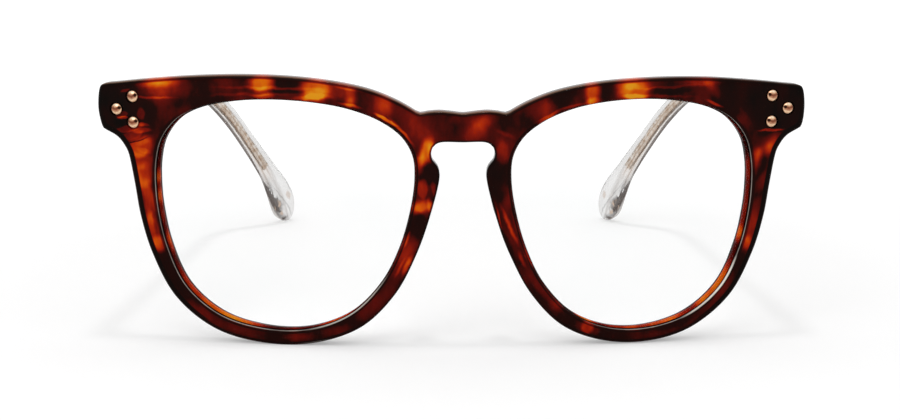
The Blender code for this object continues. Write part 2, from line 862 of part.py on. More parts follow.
def make_fittings(front, finish, metal):
    """The rivets, with every hole and recess that the front has for them and for its hinge leaves."""
    rivets = []
    for spot, place in rivet_places():
        rivet = turned("rivet_right_" + spot, rivet_profile(), place, rivet_sides, metal)
        rivets.append((rivet, "rivet_left_" + spot))
        cut_rivet_hole(front, place, finish)
        cut_rivet_hole(front, MIRROR @ place, finish)
    low, high = front_leaf_corners(seat_gap)
    past_rear = (high[0], high[1] + overrun, high[2])
    for side in (Matrix.Identity(4), MIRROR):
        recess = box("recess", low, past_rear, side @ hinge_place(wrap_angle), finish)
        combine(front, recess, "DIFFERENCE")
    return rivets


def stand_on_origin(root):
    """Set the whole thing down with the middle of its base at the origin."""
    bpy.context.view_layer.update()
    pieces = [obj for obj in bpy.data.objects if obj.type == "MESH"]
    corners = [obj.matrix_world @ Vector(corner) for obj in pieces for corner in obj.bound_box]
    along = [corner.y for corner in corners]
    root.location = (0, -(min(along) + max(along)) / 2, -min(corner.z for corner in corners))
    bpy.context.view_layer.update()


def make_glasses():
    tortoise = material("tortoise_acetate", (0.16, 0.022, 0.008), 0.12)
    crystal = material("crystal_acetate", (0.78, 0.76, 0.73), 0.08, transmission=0.9)
    glass = material("demo_lens", (0.96, 0.98, 0.98), 0.02, transmission=1.0)
    copper = material("rose_gold", (0.82, 0.5, 0.34), 0.18, metallic=1.0)
    steel = material("hinge_steel", (0.62, 0.62, 0.63), 0.25, metallic=1.0)
    core = material("core_wire", (0.72, 0.68, 0.62), 0.3, metallic=1.0)

    front = make_front(tortoise)
    fixed = [
        (make_lens("lens_right", glass), "lens_left"),
        (make_pad("nose_pad_right", tortoise), "nose_pad_left"),
        (make_front_leaf("hinge_front_leaf_right", steel), "hinge_front_leaf_left"),
        (make_screw("hinge_screw_right", steel), "hinge_screw_left"),
    ]
    fixed += make_fittings(front, tortoise, copper)
    slope = resting_slope()
    moving = [
        (make_temple("temple_right", slope, crystal), "temple_left"),
        (make_temple_leaf("hinge_temple_leaf_right", steel), "hinge_temple_leaf_left"),
        (make_wire("core_wire_right", slope, core), "core_wire_left"),
    ]

    root = empty("glasses", Vector())
    front_place = empty("front_place", Vector((0, 0, endpiece_middle)), root)
    right_axis = empty("temple_right_axis", hinge_place(0).translation, root)
    left_axis = empty("temple_left_axis", MIRROR @ hinge_place(0).translation, root)
    attach(front, front_place)
    for piece, twin_name in fixed:
        attach(mirrored(piece, twin_name), front_place)
        attach(piece, front_place)
    for piece, twin_name in moving:
        attach(mirrored(piece, twin_name), left_axis)
        attach(piece, right_axis)
    stand_on_origin(root)


clear_scene()
make_glasses()
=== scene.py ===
import math

import bmesh
import bpy
from mathutils import Matrix, Vector
from mathutils.kdtree import KDTree


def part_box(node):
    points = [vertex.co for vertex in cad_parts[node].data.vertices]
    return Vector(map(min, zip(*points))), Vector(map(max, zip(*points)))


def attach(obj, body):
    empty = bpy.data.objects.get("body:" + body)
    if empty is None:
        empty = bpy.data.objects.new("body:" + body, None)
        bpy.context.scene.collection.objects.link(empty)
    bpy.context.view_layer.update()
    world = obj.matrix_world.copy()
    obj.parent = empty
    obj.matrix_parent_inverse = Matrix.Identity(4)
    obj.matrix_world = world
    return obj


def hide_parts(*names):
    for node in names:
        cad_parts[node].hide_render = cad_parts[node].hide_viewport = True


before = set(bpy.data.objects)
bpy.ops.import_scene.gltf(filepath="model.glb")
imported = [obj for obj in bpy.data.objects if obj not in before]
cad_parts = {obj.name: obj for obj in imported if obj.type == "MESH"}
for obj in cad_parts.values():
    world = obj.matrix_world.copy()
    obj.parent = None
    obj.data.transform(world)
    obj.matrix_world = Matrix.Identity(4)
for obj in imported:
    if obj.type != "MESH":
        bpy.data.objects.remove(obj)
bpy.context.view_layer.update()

# The front
# One piece of tortoise acetate, cut flat from a sheet that was cast from chips of amber and black.
# Its edges are turned over with a cutter and tumbled smooth, each opening gets a V groove for its
# lens, and the warm sheet is then pressed over a form to its slight wrap.

mm = 0.001
face_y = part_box("front")[0].y
lens_width = 49.8 * mm
lens_height = 47.0 * mm
bridge_gap = 19.0 * mm
front_thickness = 4.2 * mm
wrap_radius = 280.0 * mm
rim_bottom = 2.75 * mm
rim_temporal = 4.5 * mm
rim_nasal = 4.9 * mm
brow_height = 4.25 * mm
brow_fall = 2.1 * mm
endpiece_reach = 11.8 * mm
endpiece_height = 9.1 * mm
endpiece_corner = 1.5 * mm
endpiece_bulge = 0.3 * mm
bridge_drop = 7.0 * mm
bridge_height = 5.6 * mm
keyhole_wall = 3.2 * mm
keyhole_drop = 2.3 * mm
pad_step_drop = 6.4 * mm
edge_round = 0.75 * mm
opening_round = 0.45 * mm
opening_rear_round = 0.3 * mm
groove_y = 0.4 * front_thickness
groove_depth = 0.9 * mm
groove_half_width = 1.0 * mm
outline_step = 0.7 * mm
fine_step = outline_step / 3
strip_step = 1.2 * mm
round_steps = 5
bridge_lean = 1.85 * mm
lean_reach = 54.0 * mm
left_widening = 0.5 * mm
right_widening = 0.95 * mm
widening_start = 38.0 * mm
widening_reach = 16.0 * mm
left_floor_rise = 0.3 * mm
right_floor_rise = 0.12 * mm
right_floor_extra = 0.28 * mm
right_floor_end = 42.0 * mm
floor_height = 18.0 * mm
floor_reach = 12.0 * mm
left_brow_rise = 0.45 * mm
left_brow_start = 2.0 * mm
left_brow_reach = 18.0 * mm
right_brow_trim = 0.2 * mm
right_brow_middle = 36.0 * mm
right_brow_reach = 17.0 * mm
right_rim_trim = 0.3 * mm
right_rim_end = 44.0 * mm
right_rim_reach = 14.0 * mm
rim_foot_height = 24.0 * mm
rim_foot_reach = 10.0 * mm
left_end_out = 0.25 * mm
left_end_start = 60.0 * mm
left_end_reach = 10.0 * mm
left_end_foot = 43.5 * mm
left_end_foot_reach = 4.0 * mm
smooth_angle = math.radians(32)

lens_centre = Vector(((bridge_gap + lens_width) / 2, rim_bottom + lens_height / 2))
brow_top = rim_bottom + lens_height + brow_height
front_half_width = bridge_gap / 2 + lens_width + endpiece_reach
endpiece_top = brow_top - brow_fall
endpiece_bottom = endpiece_top - endpiece_height
endpiece_middle = (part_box("rivet_right_outer")[0].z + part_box("rivet_right_outer")[1].z) / 2
bridge_top = brow_top - bridge_drop
arch_top = bridge_top - bridge_height
keyhole_half = bridge_gap / 2 - keyhole_wall
pad_step = Vector((bridge_gap / 2 - rim_nasal, arch_top - pad_step_drop))

# The edges' points, as shares of the sizes above.  The right opening runs anticlockwise from its
# temple side, and the rims' widths are given at some of its points, by their place in that list.  The
# brow, the bridge's crest, the sweep below the end-piece and the keyhole are all of the right half.
opening_shares = (
    (1.0, 0.25), (0.99, 0.46), (0.94, 0.65), (0.81, 0.82), (0.62, 0.925), (0.37, 0.983), (0.08, 1.0),
    (-0.25, 0.975), (-0.5, 0.922), (-0.73, 0.825), (-0.9, 0.69), (-0.985, 0.53), (-1.0, 0.34),
    (-0.962, 0.055), (-0.869, -0.278), (-0.723, -0.583), (-0.495, -0.843), (-0.178, -0.983),
    (0.169, -0.99), (0.506, -0.882), (0.77, -0.634), (0.916, -0.3), (0.98, 0.0),
)
temporal_rim_shares = ((0, 1.22), (22, 0.97), (21, 0.72), (20, 0.47), (19, 0.18), (18, 0.02))
nasal_rim_shares = ((17, 0.02), (16, 0.2), (15, 0.31), (14, 0.38), (13, 0.6))
brow_rise_shares = ((0.05, 0.14), (0.13, 0.335), (0.28, 0.6), (0.49, 0.82), (0.73, 0.955), (1.0, 1.0))
brow_fall_shares = ((0.34, 0.15), (0.66, 0.52), (0.88, 0.88))
brow_peak_share = 0.52
bridge_corner_share = 0.9
bridge_crest_shares = ((0.0, 0.02), (0.3, 0.06), (0.56, 0.085), (0.83, 0.055), (0.985, 0.02), (1.08, 0.06))
sweep_shares = ((0.87, 0.0), (0.735, 0.09), (0.65, 0.18), (0.577, 0.31), (0.52, 0.45), (0.485, 0.63))
keyhole_shares = (
    (0.69, 0.0), (0.85, 0.17), (0.95, 0.45), (1.0, 1.0), (0.985, 1.3), (0.95, 1.55), (0.8, 2.05),
)


def sag(x):
    """How far the wrapped front falls back at a distance from its middle."""
    return wrap_radius - math.sqrt(wrap_radius ** 2 - x ** 2)


def ease(t):
    """A soft rise from 0 to 1 as t goes from 0 to 1."""
    t = min(max(t, 0.0), 1.0)
    return t * t * (3 - 2 * t)


def lean(x):
    """How far this frame's bridge stands off its middle; the end-pieces and hinges stay in place."""
    return bridge_lean * ease((lean_reach - abs(x)) / (lean_reach - bridge_gap / 2))


def leaned(loop):
    """A loop moved across with the bridge."""
    return [Vector((point.x + lean(point.x), point.y)) for point in loop]


def widened(loop):
    """An opening's loop, filed out a little on its temple side and left fuller at its foot."""
    moved = []
    for point in leaned(loop):
        more = right_widening if point.x > 0 else -left_widening
        x = point.x + more * ease((abs(point.x) - widening_start) / widening_reach)
        rise = left_floor_rise
        if point.x > 0:
            rise = right_floor_rise + right_floor_extra * ease((right_floor_end - point.x) / floor_reach)
        moved.append(Vector((x, point.y + rise * ease((floor_height - point.y) / floor_reach))))
    return moved


def filed(loop):
    """The outer edge's loop, left a little fuller at the left brow and filed thinner on the right."""
    moved = []
    for x, z in leaned(loop):
        on_brow = ease((z - endpiece_bottom) / endpiece_height)
        at_foot = ease((rim_foot_height - z) / rim_foot_reach)
        rise = left_brow_rise * ease((-x - left_brow_start) / left_brow_reach) * on_brow
        rise -= right_brow_trim * ease(1 - abs(x - right_brow_middle) / right_brow_reach) * on_brow
        if x > 0:
            rise += right_rim_trim * ease((right_rim_end - x) / right_rim_reach) * at_foot
        out = left_end_out * ease((-x - left_end_start) / left_end_reach)
        out *= ease((z - left_end_foot) / left_end_foot_reach)
        moved.append(Vector((x - out, z + rise)))
    return moved


def curve_point(before, start, end, after, t):
    """A point between start and end on the smooth curve through four points."""
    knots = [0.0]
    for a, b in ((before, start), (start, end), (end, after)):
        knots.append(knots[-1] + math.sqrt((b - a).length))
    k0, k1, k2, k3 = knots
    u = k1 + (k2 - k1) * t
    a1 = before * ((k1 - u) / (k1 - k0)) + start * ((u - k0) / (k1 - k0))
    a2 = start * ((k2 - u) / (k2 - k1)) + end * ((u - k1) / (k2 - k1))
    a3 = end * ((k3 - u) / (k3 - k2)) + after * ((u - k2) / (k3 - k2))
    b1 = a1 * ((k2 - u) / (k2 - k0)) + a2 * ((u - k0) / (k2 - k0))
    b2 = a2 * ((k3 - u) / (k3 - k1)) + a3 * ((u - k1) / (k3 - k1))
    return b1 * ((k2 - u) / (k2 - k1)) + b2 * ((u - k1) / (k2 - k1))


def smooth_loop(points, step):
    """A closed smooth curve through the points, with corners about one step apart."""
    count = len(points)
    loop = []
    for i in range(count):
        before, start, end, after = (points[(i + k) % count] for k in (-1, 0, 1, 2))
        pieces = max(1, round((end - start).length / step))
        loop += [curve_point(before, start, end, after, k / pieces) for k in range(pieces)]
    return loop


def offset_loop(loop, distance):
    """A loop that runs anticlockwise, moved outwards by a distance."""
    moved = []
    for i, point in enumerate(loop):
        ahead = loop[(i + 1) % len(loop)]
        along = ((point - loop[i - 1]).normalized() + (ahead - point).normalized()).normalized()
        moved.append(point + Vector((along.y, -along.x)) * distance)
    return moved


def opening_point(index):
    """A point of the right opening, by its place in the list of shares."""
    share_x, share_z = opening_shares[index % len(opening_shares)]
    return lens_centre + Vector((share_x * lens_width / 2, share_z * lens_height / 2))


def rim_point(index, width):
    """A point of the outer edge, a rim's width outside a point of the opening."""
    along = (opening_point(index + 1) - opening_point(index - 1)).normalized()
    return opening_point(index) + Vector((along.y, -along.x)) * width


def rounded_corner(corner, side_a, side_b):
    """Three points of the arc that rounds a corner of the end-piece between two directions."""
    centre = corner + (side_a + side_b) * endpiece_corner
    middle = centre + (corner - centre).normalized() * endpiece_corner
    return [centre - side_b * endpiece_corner, middle, centre - side_a * endpiece_corner]


def half_outline():
    """The outer edge's right half, from the bridge's top out, down and back to the keyhole's top."""
    corner_x = bridge_corner_share * bridge_gap / 2
    peak_x = corner_x + (front_half_width - corner_x) * brow_peak_share
    side_x = front_half_width - endpiece_bulge
    left, down = Vector((-1, 0)), Vector((0, -1))
    points = [Vector((corner_x * out, bridge_top + bridge_drop * up)) for out, up in bridge_crest_shares]
    for along, up in brow_rise_shares:
        points.append(Vector((corner_x + (peak_x - corner_x) * along, bridge_top + bridge_drop * up)))
    for along, fall in brow_fall_shares:
        points.append(Vector((peak_x + (side_x - peak_x) * along, brow_top - brow_fall * fall)))
    points += rounded_corner(Vector((side_x, endpiece_top)), left, down)
    points.append(Vector((front_half_width, endpiece_middle)))
    points += rounded_corner(Vector((side_x, endpiece_bottom)), -down, left)[:2]
    for out, fall in sweep_shares:
        x = bridge_gap / 2 + lens_width + endpiece_reach * out
        points.append(Vector((x, endpiece_bottom - endpiece_height * fall)))
    for index, share in temporal_rim_shares:
        points.append(rim_point(index, rim_bottom + (rim_temporal - rim_bottom) * share))
    for index, share in nasal_rim_shares:
        points.append(rim_point(index, rim_bottom + (rim_nasal - rim_bottom) * share))
    points.append(pad_step)
    for across, drop in reversed(keyhole_shares):
        points.append(Vector((keyhole_half * across, arch_top - keyhole_drop * drop)))
    points.append(Vector((0, arch_top)))
    return points


def flipped(loop):
    """A loop's mirror image, run the same way round."""
    return [Vector((-point.x, point.y)) for point in reversed(loop)]


def quarter_turn(radius, sign):
    """(outwards, backwards) points round the front edge of a wall whose solid side is at -sign."""
    turns = [math.pi / 2 * k / round_steps for k in range(round_steps + 1)]
    return [(sign * radius * (math.sin(turn) - 1), radius * (1 - math.cos(turn))) for turn in turns]


def select_only(piece):
    bpy.ops.object.select_all(action="DESELECT")
    piece.select_set(True)
    bpy.context.view_layer.objects.active = piece


def skin(name, rings, kept=None):
    """A skin through rings of points: a circle is laid on the first and extruded on to each next one.

    kept gives named values for the same rings, to stay with the points as attributes."""
    kept = kept or {}
    bpy.ops.object.select_all(action="DESELECT")
    bpy.ops.mesh.primitive_circle_add(vertices=len(rings[0]), radius=lens_height / 2)
    piece = bpy.context.object
    piece.name = name
    piece.data.name = name
    place = piece.data.attributes.new("place_in_ring", "INT", "POINT")
    place.data.foreach_set("value", range(len(rings[0])))
    for key in kept:
        piece.data.attributes.new(key, "FLOAT", "POINT")
    bpy.ops.object.mode_set(mode="EDIT")
    bpy.ops.mesh.select_all(action="SELECT")
    for step, ring in enumerate(rings):
        if step:
            bpy.ops.mesh.extrude_region()
        work = bmesh.from_edit_mesh(piece.data)
        place = work.verts.layers.int["place_in_ring"]
        for vert in work.verts:
            if vert.select:
                vert.co = ring[vert[place]]
                for key, values in kept.items():
                    vert[work.verts.layers.float[key]] = values[step][vert[place]]
    bmesh.update_edit_mesh(piece.data)
    bpy.ops.object.mode_set(mode="OBJECT")
    piece.data.attributes.remove(piece.data.attributes["place_in_ring"])
    return piece


def close_ends(piece):
    """Fill the two open ends of a skin and turn its faces outwards."""
    select_only(piece)
    bpy.ops.object.mode_set(mode="EDIT")
    bpy.ops.mesh.select_all(action="SELECT")
    bpy.ops.mesh.fill_holes(sides=0)
    bpy.ops.mesh.select_all(action="SELECT")
    bpy.ops.mesh.normals_make_consistent(inside=False)
    bpy.ops.object.mode_set(mode="OBJECT")
    bpy.ops.object.shade_smooth_by_angle(angle=smooth_angle)


def flat_wall(name, loop, layers):
    """A wall of the unbent front along a loop, through (outwards, backwards) layers."""
    rings = []
    for out, back in layers:
        rings.append([(point.x, back, point.y) for point in offset_loop(loop, out)])
    return skin(name, rings)


half = half_outline()
outer_points = list(reversed(half + flipped(half[1:-1])))
opening_points = [opening_point(i) for i in range(len(opening_shares))]
outer_loop = filed(smooth_loop(outer_points, outline_step))
right_opening = widened(smooth_loop(opening_points, outline_step))
left_opening = widened(flipped(smooth_loop(opening_points, outline_step)))

outer_layers = quarter_turn(edge_round, 1)
outer_layers += [(out, front_thickness - back) for out, back in reversed(outer_layers)]
opening_layers = quarter_turn(opening_round, -1)
opening_layers += [
    (0, groove_y - groove_half_width), (groove_depth, groove_y), (0, groove_y + groove_half_width),
]
opening_layers += [
    (out, front_thickness - back) for out, back in reversed(quarter_turn(opening_rear_round, -1))
]
front = flat_wall("front_acetate", outer_loop, outer_layers)
openings = [
    flat_wall("right_opening", right_opening, opening_layers),
    flat_wall("left_opening", left_opening, opening_layers),
]
select_only(front)
for opening in openings:
    opening.select_set(True)
bpy.ops.object.join()
bpy.ops.object.mode_set(mode="EDIT")
for back in (0, front_thickness):
    bpy.ops.mesh.select_all(action="DESELECT")
    work = bmesh.from_edit_mesh(front.data)
    for edge in work.edges:
        if edge.is_boundary and all(abs(vert.co.y - back) < edge_round / 2 for vert in edge.verts):
            edge.select = True
    bpy.ops.mesh.fill(use_beauty=True)
bpy.ops.mesh.select_all(action="SELECT")
bpy.ops.mesh.normals_make_consistent(inside=False)
bpy.ops.object.mode_set(mode="OBJECT")

# Each rivet sits in a shallow turned seat, and each hinge leaf in a pocket milled into the rear.
rivets = {}
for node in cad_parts:
    if node.startswith("rivet_"):
        low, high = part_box(node)
        rivets[node] = Vector(((low.x + high.x) / 2, low.y, (low.z + high.z) / 2))
seat_radius = 1.4 * mm
seat_depth = 0.35 * mm
seat_sides = 48
leaf_gap = 0.3 * mm
leaf_depth = 1.3 * mm


def cut(piece, cutter):
    """Take a cutter's shape out of a piece and throw the cutter away."""
    select_only(piece)
    modifier = piece.modifiers.new("cut", "BOOLEAN")
    modifier.operation = "DIFFERENCE"
    modifier.solver = "EXACT"
    modifier.object = cutter
    bpy.ops.object.modifier_apply(modifier=modifier.name)
    bpy.data.objects.remove(cutter, do_unlink=True)


def box_cutter(low, high, place):
    """A box between two corners of a local frame, to cut with."""
    bpy.ops.object.select_all(action="DESELECT")
    bpy.ops.mesh.primitive_cube_add(size=1)
    cutter = bpy.context.object
    low, high = Vector(low), Vector(high)
    size = Matrix.Diagonal((*(high - low), 1))
    cutter.data.transform(place @ Matrix.Translation((low + high) / 2) @ size)
    return cutter


for place in rivets.values():
    bpy.ops.object.select_all(action="DESELECT")
    bpy.ops.mesh.primitive_cylinder_add(
        vertices=seat_sides, radius=seat_radius, depth=2 * seat_depth,
        location=(place.x, 0, place.z), rotation=(math.pi / 2, 0, 0),
    )
    cut(front, bpy.context.object)
for side in ("left", "right"):
    low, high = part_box("hinge_front_leaf_" + side)
    cut(front, box_cutter(
        (low.x - leaf_gap, front_thickness - leaf_depth, low.z - leaf_gap),
        (high.x + leaf_gap, 2 * front_thickness, high.z + leaf_gap), Matrix.Identity(4),
    ))


def point_tree(points):
    """A tree that finds the nearest of many points on the front's face."""
    made = KDTree(len(points))
    for index, point in enumerate(points):
        made.insert((point.x, point.y, 0), index)
    made.balance()
    return made


outline_tree = point_tree(filed(smooth_loop(outer_points, fine_step)))
fine_opening = smooth_loop(opening_points, fine_step)
opening_tree = point_tree(widened(fine_opening) + widened(flipped(fine_opening)))


def remember_edges(piece):
    """Keep each corner's distance from the outer edge, from the nearer opening and from the face."""
    flat = [(vert.co.x, vert.co.z, 0) for vert in piece.data.vertices]
    values = {
        "from_outline": [outline_tree.find(place)[2] for place in flat],
        "from_opening": [opening_tree.find(place)[2] for place in flat],
        "from_face": [vert.co.y for vert in piece.data.vertices],
    }
    for name, distances in values.items():
        kept = piece.data.attributes.new(name, "FLOAT", "POINT")
        kept.data.foreach_set("value", distances)


def bend(piece, turned_width):
    """Wrap a flat piece; within a width of an opening's edge its depth turns with the wrap."""
    for vert in piece.data.vertices:
        x, back, z = vert.co
        turning = max(0.0, 1 - opening_tree.find((x, z, 0))[2] / turned_width)
        vert.co = (x - turning * back * x / wrap_radius, face_y + sag(x) + back, z)


# The sheet is divided so that it can bend.  The walls of the openings turn with the bend, which
# brings their temple sides into view, and the outer edge stays square for the mitre.
rim_turned_width = 4.0 * mm
select_only(front)
bpy.ops.object.mode_set(mode="EDIT")
for axis, reach in ((Vector((1, 0, 0)), front_half_width), (Vector((0, 0, 1)), brow_top)):
    steps = int(reach / strip_step)
    for k in range(-steps, steps + 1):
        bpy.ops.mesh.select_all(action="SELECT")
        bpy.ops.mesh.bisect(plane_co=axis * (k * strip_step), plane_no=axis, threshold=1e-6)
bpy.ops.object.mode_set(mode="OBJECT")
remember_edges(front)
bend(front, rim_turned_width)
select_only(front)
bpy.ops.object.shade_smooth_by_angle(angle=smooth_angle)


def put(tree, kind, inputs=None, **settings):
    """A shader node with its settings made and its inputs linked or filled in."""
    node = tree.nodes.new("ShaderNode" + kind)
    for key, value in settings.items():
        setattr(node, key, value)
    for key, value in (inputs or {}).items():
        if isinstance(value, bpy.types.NodeSocket):
            tree.links.new(value, node.inputs[key])
        else:
            node.inputs[key].default_value = value
    return node


def new_finish(name):
    """A new material, its node tree and its shader."""
    finish = bpy.data.materials.new(name)
    finish.use_nodes = True
    return finish, finish.node_tree, finish.node_tree.nodes["Principled BSDF"]


def colour(red, green, blue):
    """A linear colour from the 0 to 255 values that a screen shows."""
    shares = [value / 255 for value in (red, green, blue)]
    linear = [share / 12.92 if share < 0.04045 else ((share + 0.055) / 1.055) ** 2.4 for share in shares]
    return (*linear, 1)


def object_place(tree):
    """Where a point lies on the finished frame."""
    return put(tree, "TexCoord").outputs["Object"]


def kept_value(tree, name):
    """A value that stayed with the mesh's points under a name."""
    return put(tree, "Attribute", attribute_name=name).outputs["Fac"]


def drawn_out(tree, place, scale):
    """A place squeezed along its axes, so that a pattern read there runs in streaks."""
    return put(tree, "Mapping", {"Vector": place, "Scale": scale}).outputs[0]


def noise(tree, place, scale, detail=2.0):
    """A soft uneven grey, finer as the scale grows."""
    return put(tree, "TexNoise", {"Vector": place, "Scale": scale, "Detail": detail}).outputs["Fac"]


def maths(tree, operation, a, b=0.0, c=0.0):
    """The outcome of one sum on two or three values."""
    return put(tree, "Math", {0: a, 1: b, 2: c}, operation=operation).outputs[0]


def times(tree, a, b):
    return maths(tree, "MULTIPLY", a, b)


def rising(tree, value, low, high, start=0.0, end=1.0):
    """The start below the first limit, the end past the second, and a straight way between them."""
    return put(tree, "MapRange", {
        "Value": value, "From Min": low, "From Max": high, "To Min": start, "To Max": end,
    }).outputs["Result"]


def mixed(tree, share, a, b):
    """One value going over to another."""
    return put(tree, "Mix", {"Factor": share, 2: a, 3: b}).outputs[0]


def tinted(tree, share, tone, other):
    """One colour going over to another."""
    return put(tree, "Mix", {"Factor": share, 6: tone, 7: other}, data_type="RGBA").outputs[2]


def ramp_of(tree, value, stops):
    """A colour or a grey that follows a value through (place, colour) stops."""
    node = put(tree, "ValToRGB", {"Fac": value})
    ramp = node.color_ramp
    while len(ramp.elements) < len(stops):
        ramp.elements.new(0.5)
    for element, (place, tone) in zip(ramp.elements, stops):
        element.position = place
        element.color = tone if isinstance(tone, tuple) else (tone, tone, tone, 1)
    return node.outputs["Color"]


def finish_in(piece, *finishes):
    """Give a piece its material, or its materials, in place of any that it has."""
    piece.data.materials.clear()
    for finish in finishes:
        piece.data.materials.append(finish)


# Where the chips of warmer acetate lie in the dark sheet, in mm on the front's face: x, z, half length,
# half height, turn in degrees, how much of it is a soft border, and how much warmer it is than the
# dark red around it, from -0.3 for black to 0.5 for yellow amber.
left_endpiece_chips = (
    (-66.5, 49.0, 6.5, 6.5, 0, 0.5, -0.2), (-58.4, 52.9, 3.8, 1.0, 4, 0.9, 0.4),
    (-58.2, 51.7, 4.4, 2.2, 2, 0.9, 0.29), (-65.4, 51.1, 1.0, 0.3, 20, 0.7, 0.27),
    (-60.0, 49.75, 4.0, 0.24, 0, 0.8, 0.22), (-66.3, 46.2, 1.3, 0.7, 10, 0.4, 0.27),
    (-66.2, 45.5, 1.1, 0.28, 3, 0.5, 0.42), (-62.3, 46.4, 0.9, 1.2, 0, 0.5, 0.22),
    (-62.3, 44.2, 1.6, 0.42, -3, 0.4, 0.2), (-64.9, 43.4, 3.2, 0.7, 14, 0.35, 0.24),
    (-63.4, 40.9, 2.4, 0.16, 17, 0.6, -0.3),
    (-62.3, 43.0, 1.9, 0.5, 8, 0.4, 0.2), (-64.2, 42.1, 2.2, 0.9, 18, 0.4, 0.18),
)
left_rim_chips = (
    (-62.6, 39.7, 2.9, 1.9, 24, 0.5, 0.31), (-61.5, 41.1, 1.8, 0.7, 25, 0.8, 0.12),
    (-62.0, 39.0, 1.8, 0.5, -12, 0.6, 0.08), (-62.4, 37.1, 2.4, 1.6, 0, 0.7, 0.22),
    (-62.3, 34.0, 2.1, 2.4, 0, 0.6, 0.29), (-61.4, 28.6, 1.9, 4.6, 8, 0.7, 0.32),
    (-60.4, 22.6, 1.5, 3.8, 14, 0.5, 0.24), (-63.5, 33.7, 0.7, 2.2, 5, 0.9, 0.12),
    (-62.3, 31.6, 1.5, 1.2, 0, 0.9, 0.05), (-62.5, 28.2, 0.45, 2.2, 8, 0.9, -0.16),
    (-60.4, 32.2, 0.35, 2.2, 4, 0.9, -0.13), (-60.1, 25.0, 0.4, 2.6, 10, 0.9, -0.18),
    (-59.4, 20.1, 1.5, 1.7, 12, 0.6, 0.26), (-57.6, 14.8, 1.8, 4.2, 32, 0.5, -0.08),
    (-50.6, 5.9, 5.0, 1.0, -31, 0.9, 0.16), (-44.0, 3.0, 3.0, 0.8, -14, 0.9, 0.11),
    (-32.3, 1.8, 2.4, 0.7, 2, 0.9, 0.19), (-24.6, 3.2, 2.2, 0.9, 16, 0.9, 0.17),
    (-18.0, 8.6, 5.0, 1.5, 41, 0.8, 0.16), (-13.0, 15.5, 1.3, 4.4, -28, 0.9, 0.12),
)
left_brow_chips = (
    (-50.5, 51.0, 7.5, 3.2, 0, 0.5, -0.08), (-46.0, 51.6, 2.6, 1.7, 0, 0.9, 0.11),
    (-38.3, 52.9, 2.4, 1.7, 0, 0.7, 0.5), (-38.1, 53.2, 1.5, 1.3, 0, 0.9, 0.12),
    (-38.0, 50.4, 2.0, 0.5, 0, 0.7, 0.39), (-38.1, 51.5, 1.6, 0.8, 0, 0.8, 0.08),
    (-37.5, 51.95, 8.0, 0.3, 0, 0.8, 0.16), (-39.0, 50.75, 8.5, 0.3, 2, 0.8, 0.13),
    (-33.8, 52.9, 3.0, 0.8, 0, 0.5, -0.11), (-33.6, 51.35, 3.2, 0.5, 0, 0.5, -0.14),
    (-28.2, 51.7, 2.7, 2.6, 0, 0.6, 0.48), (-27.9, 51.1, 2.0, 1.0, 0, 0.7, 0.23),
    (-28.8, 50.2, 3.2, 0.6, 2, 0.7, 0.35), (-27.1, 52.7, 1.4, 1.2, 0, 0.9, 0.11),
    (-24.2, 51.5, 2.0, 1.6, 0, 0.7, 0.22), (-24.4, 50.0, 1.6, 0.6, -8, 0.7, -0.05),
    (-22.4, 52.3, 2.8, 0.45, -12, 0.8, 0.27), (-21.6, 50.9, 0.9, 2.1, 0, 0.9, 0.34),
    (-21.8, 49.6, 1.0, 0.7, 0, 0.9, 0.19), (-21.8, 48.75, 1.9, 0.35, -13, 0.8, 0.39),
    (-18.7, 50.2, 2.0, 2.6, 0, 0.6, -0.02), (-15.5, 49.0, 1.5, 2.2, 0, 0.9, 0.38),
    (-13.3, 47.9, 1.2, 1.4, 0, 0.9, 0.09), (-15.2, 46.0, 2.2, 0.36, -29, 0.6, 0.51),
    (-12.1, 43.7, 2.8, 0.34, -48, 0.8, 0.4), (-10.6, 46.0, 2.4, 2.6, 0, 0.9, 0.14),
)
bridge_chips = (
    (-7.6, 43.2, 2.6, 2.4, 0, 0.9, 0.19), (-3.3, 45.2, 3.0, 2.8, 0, 0.6, -0.05),
    (-0.6, 46.2, 1.6, 0.9, 0, 0.9, 0.09), (2.3, 44.0, 1.7, 2.6, -28, 0.9, 0.25),
    (4.3, 45.5, 1.7, 1.1, 20, 0.9, 0.16), (9.6, 45.3, 3.4, 2.2, 0, 0.6, -0.05),
    (8.2, 43.1, 1.8, 0.4, -24, 0.8, 0.12),
)
left_nose_chips = (
    (-7.2, 39.8, 1.4, 2.4, -18, 0.7, 0.48), (-6.3, 40.0, 0.7, 1.2, 0, 0.9, 0.24),
    (-8.4, 37.4, 0.8, 1.9, -8, 0.9, 0.28), (-6.6, 35.2, 2.2, 2.2, 0, 0.4, -0.16),
    (-8.0, 32.2, 1.0, 1.9, 0, 0.35, 0.19), (-5.7, 32.2, 0.5, 1.6, 10, 0.5, 0.14),
    (-8.3, 28.6, 1.9, 1.3, 10, 0.7, 0.42), (-6.4, 28.6, 0.5, 1.6, 14, 0.8, 0.3),
    (-8.9, 28.2, 0.9, 0.8, 0, 0.9, 0.08), (-8.9, 24.6, 2.2, 2.5, 0, 0.6, -0.12),
    (-11.4, 21.8, 0.4, 1.6, -25, 0.8, 0.33), (-11.6, 18.9, 1.4, 3.4, -26, 0.8, 0.17),
    (-11.2, 16.6, 0.45, 2.0, -26, 0.8, 0.36), (-12.6, 16.2, 0.3, 1.8, -28, 0.8, 0.2),
)
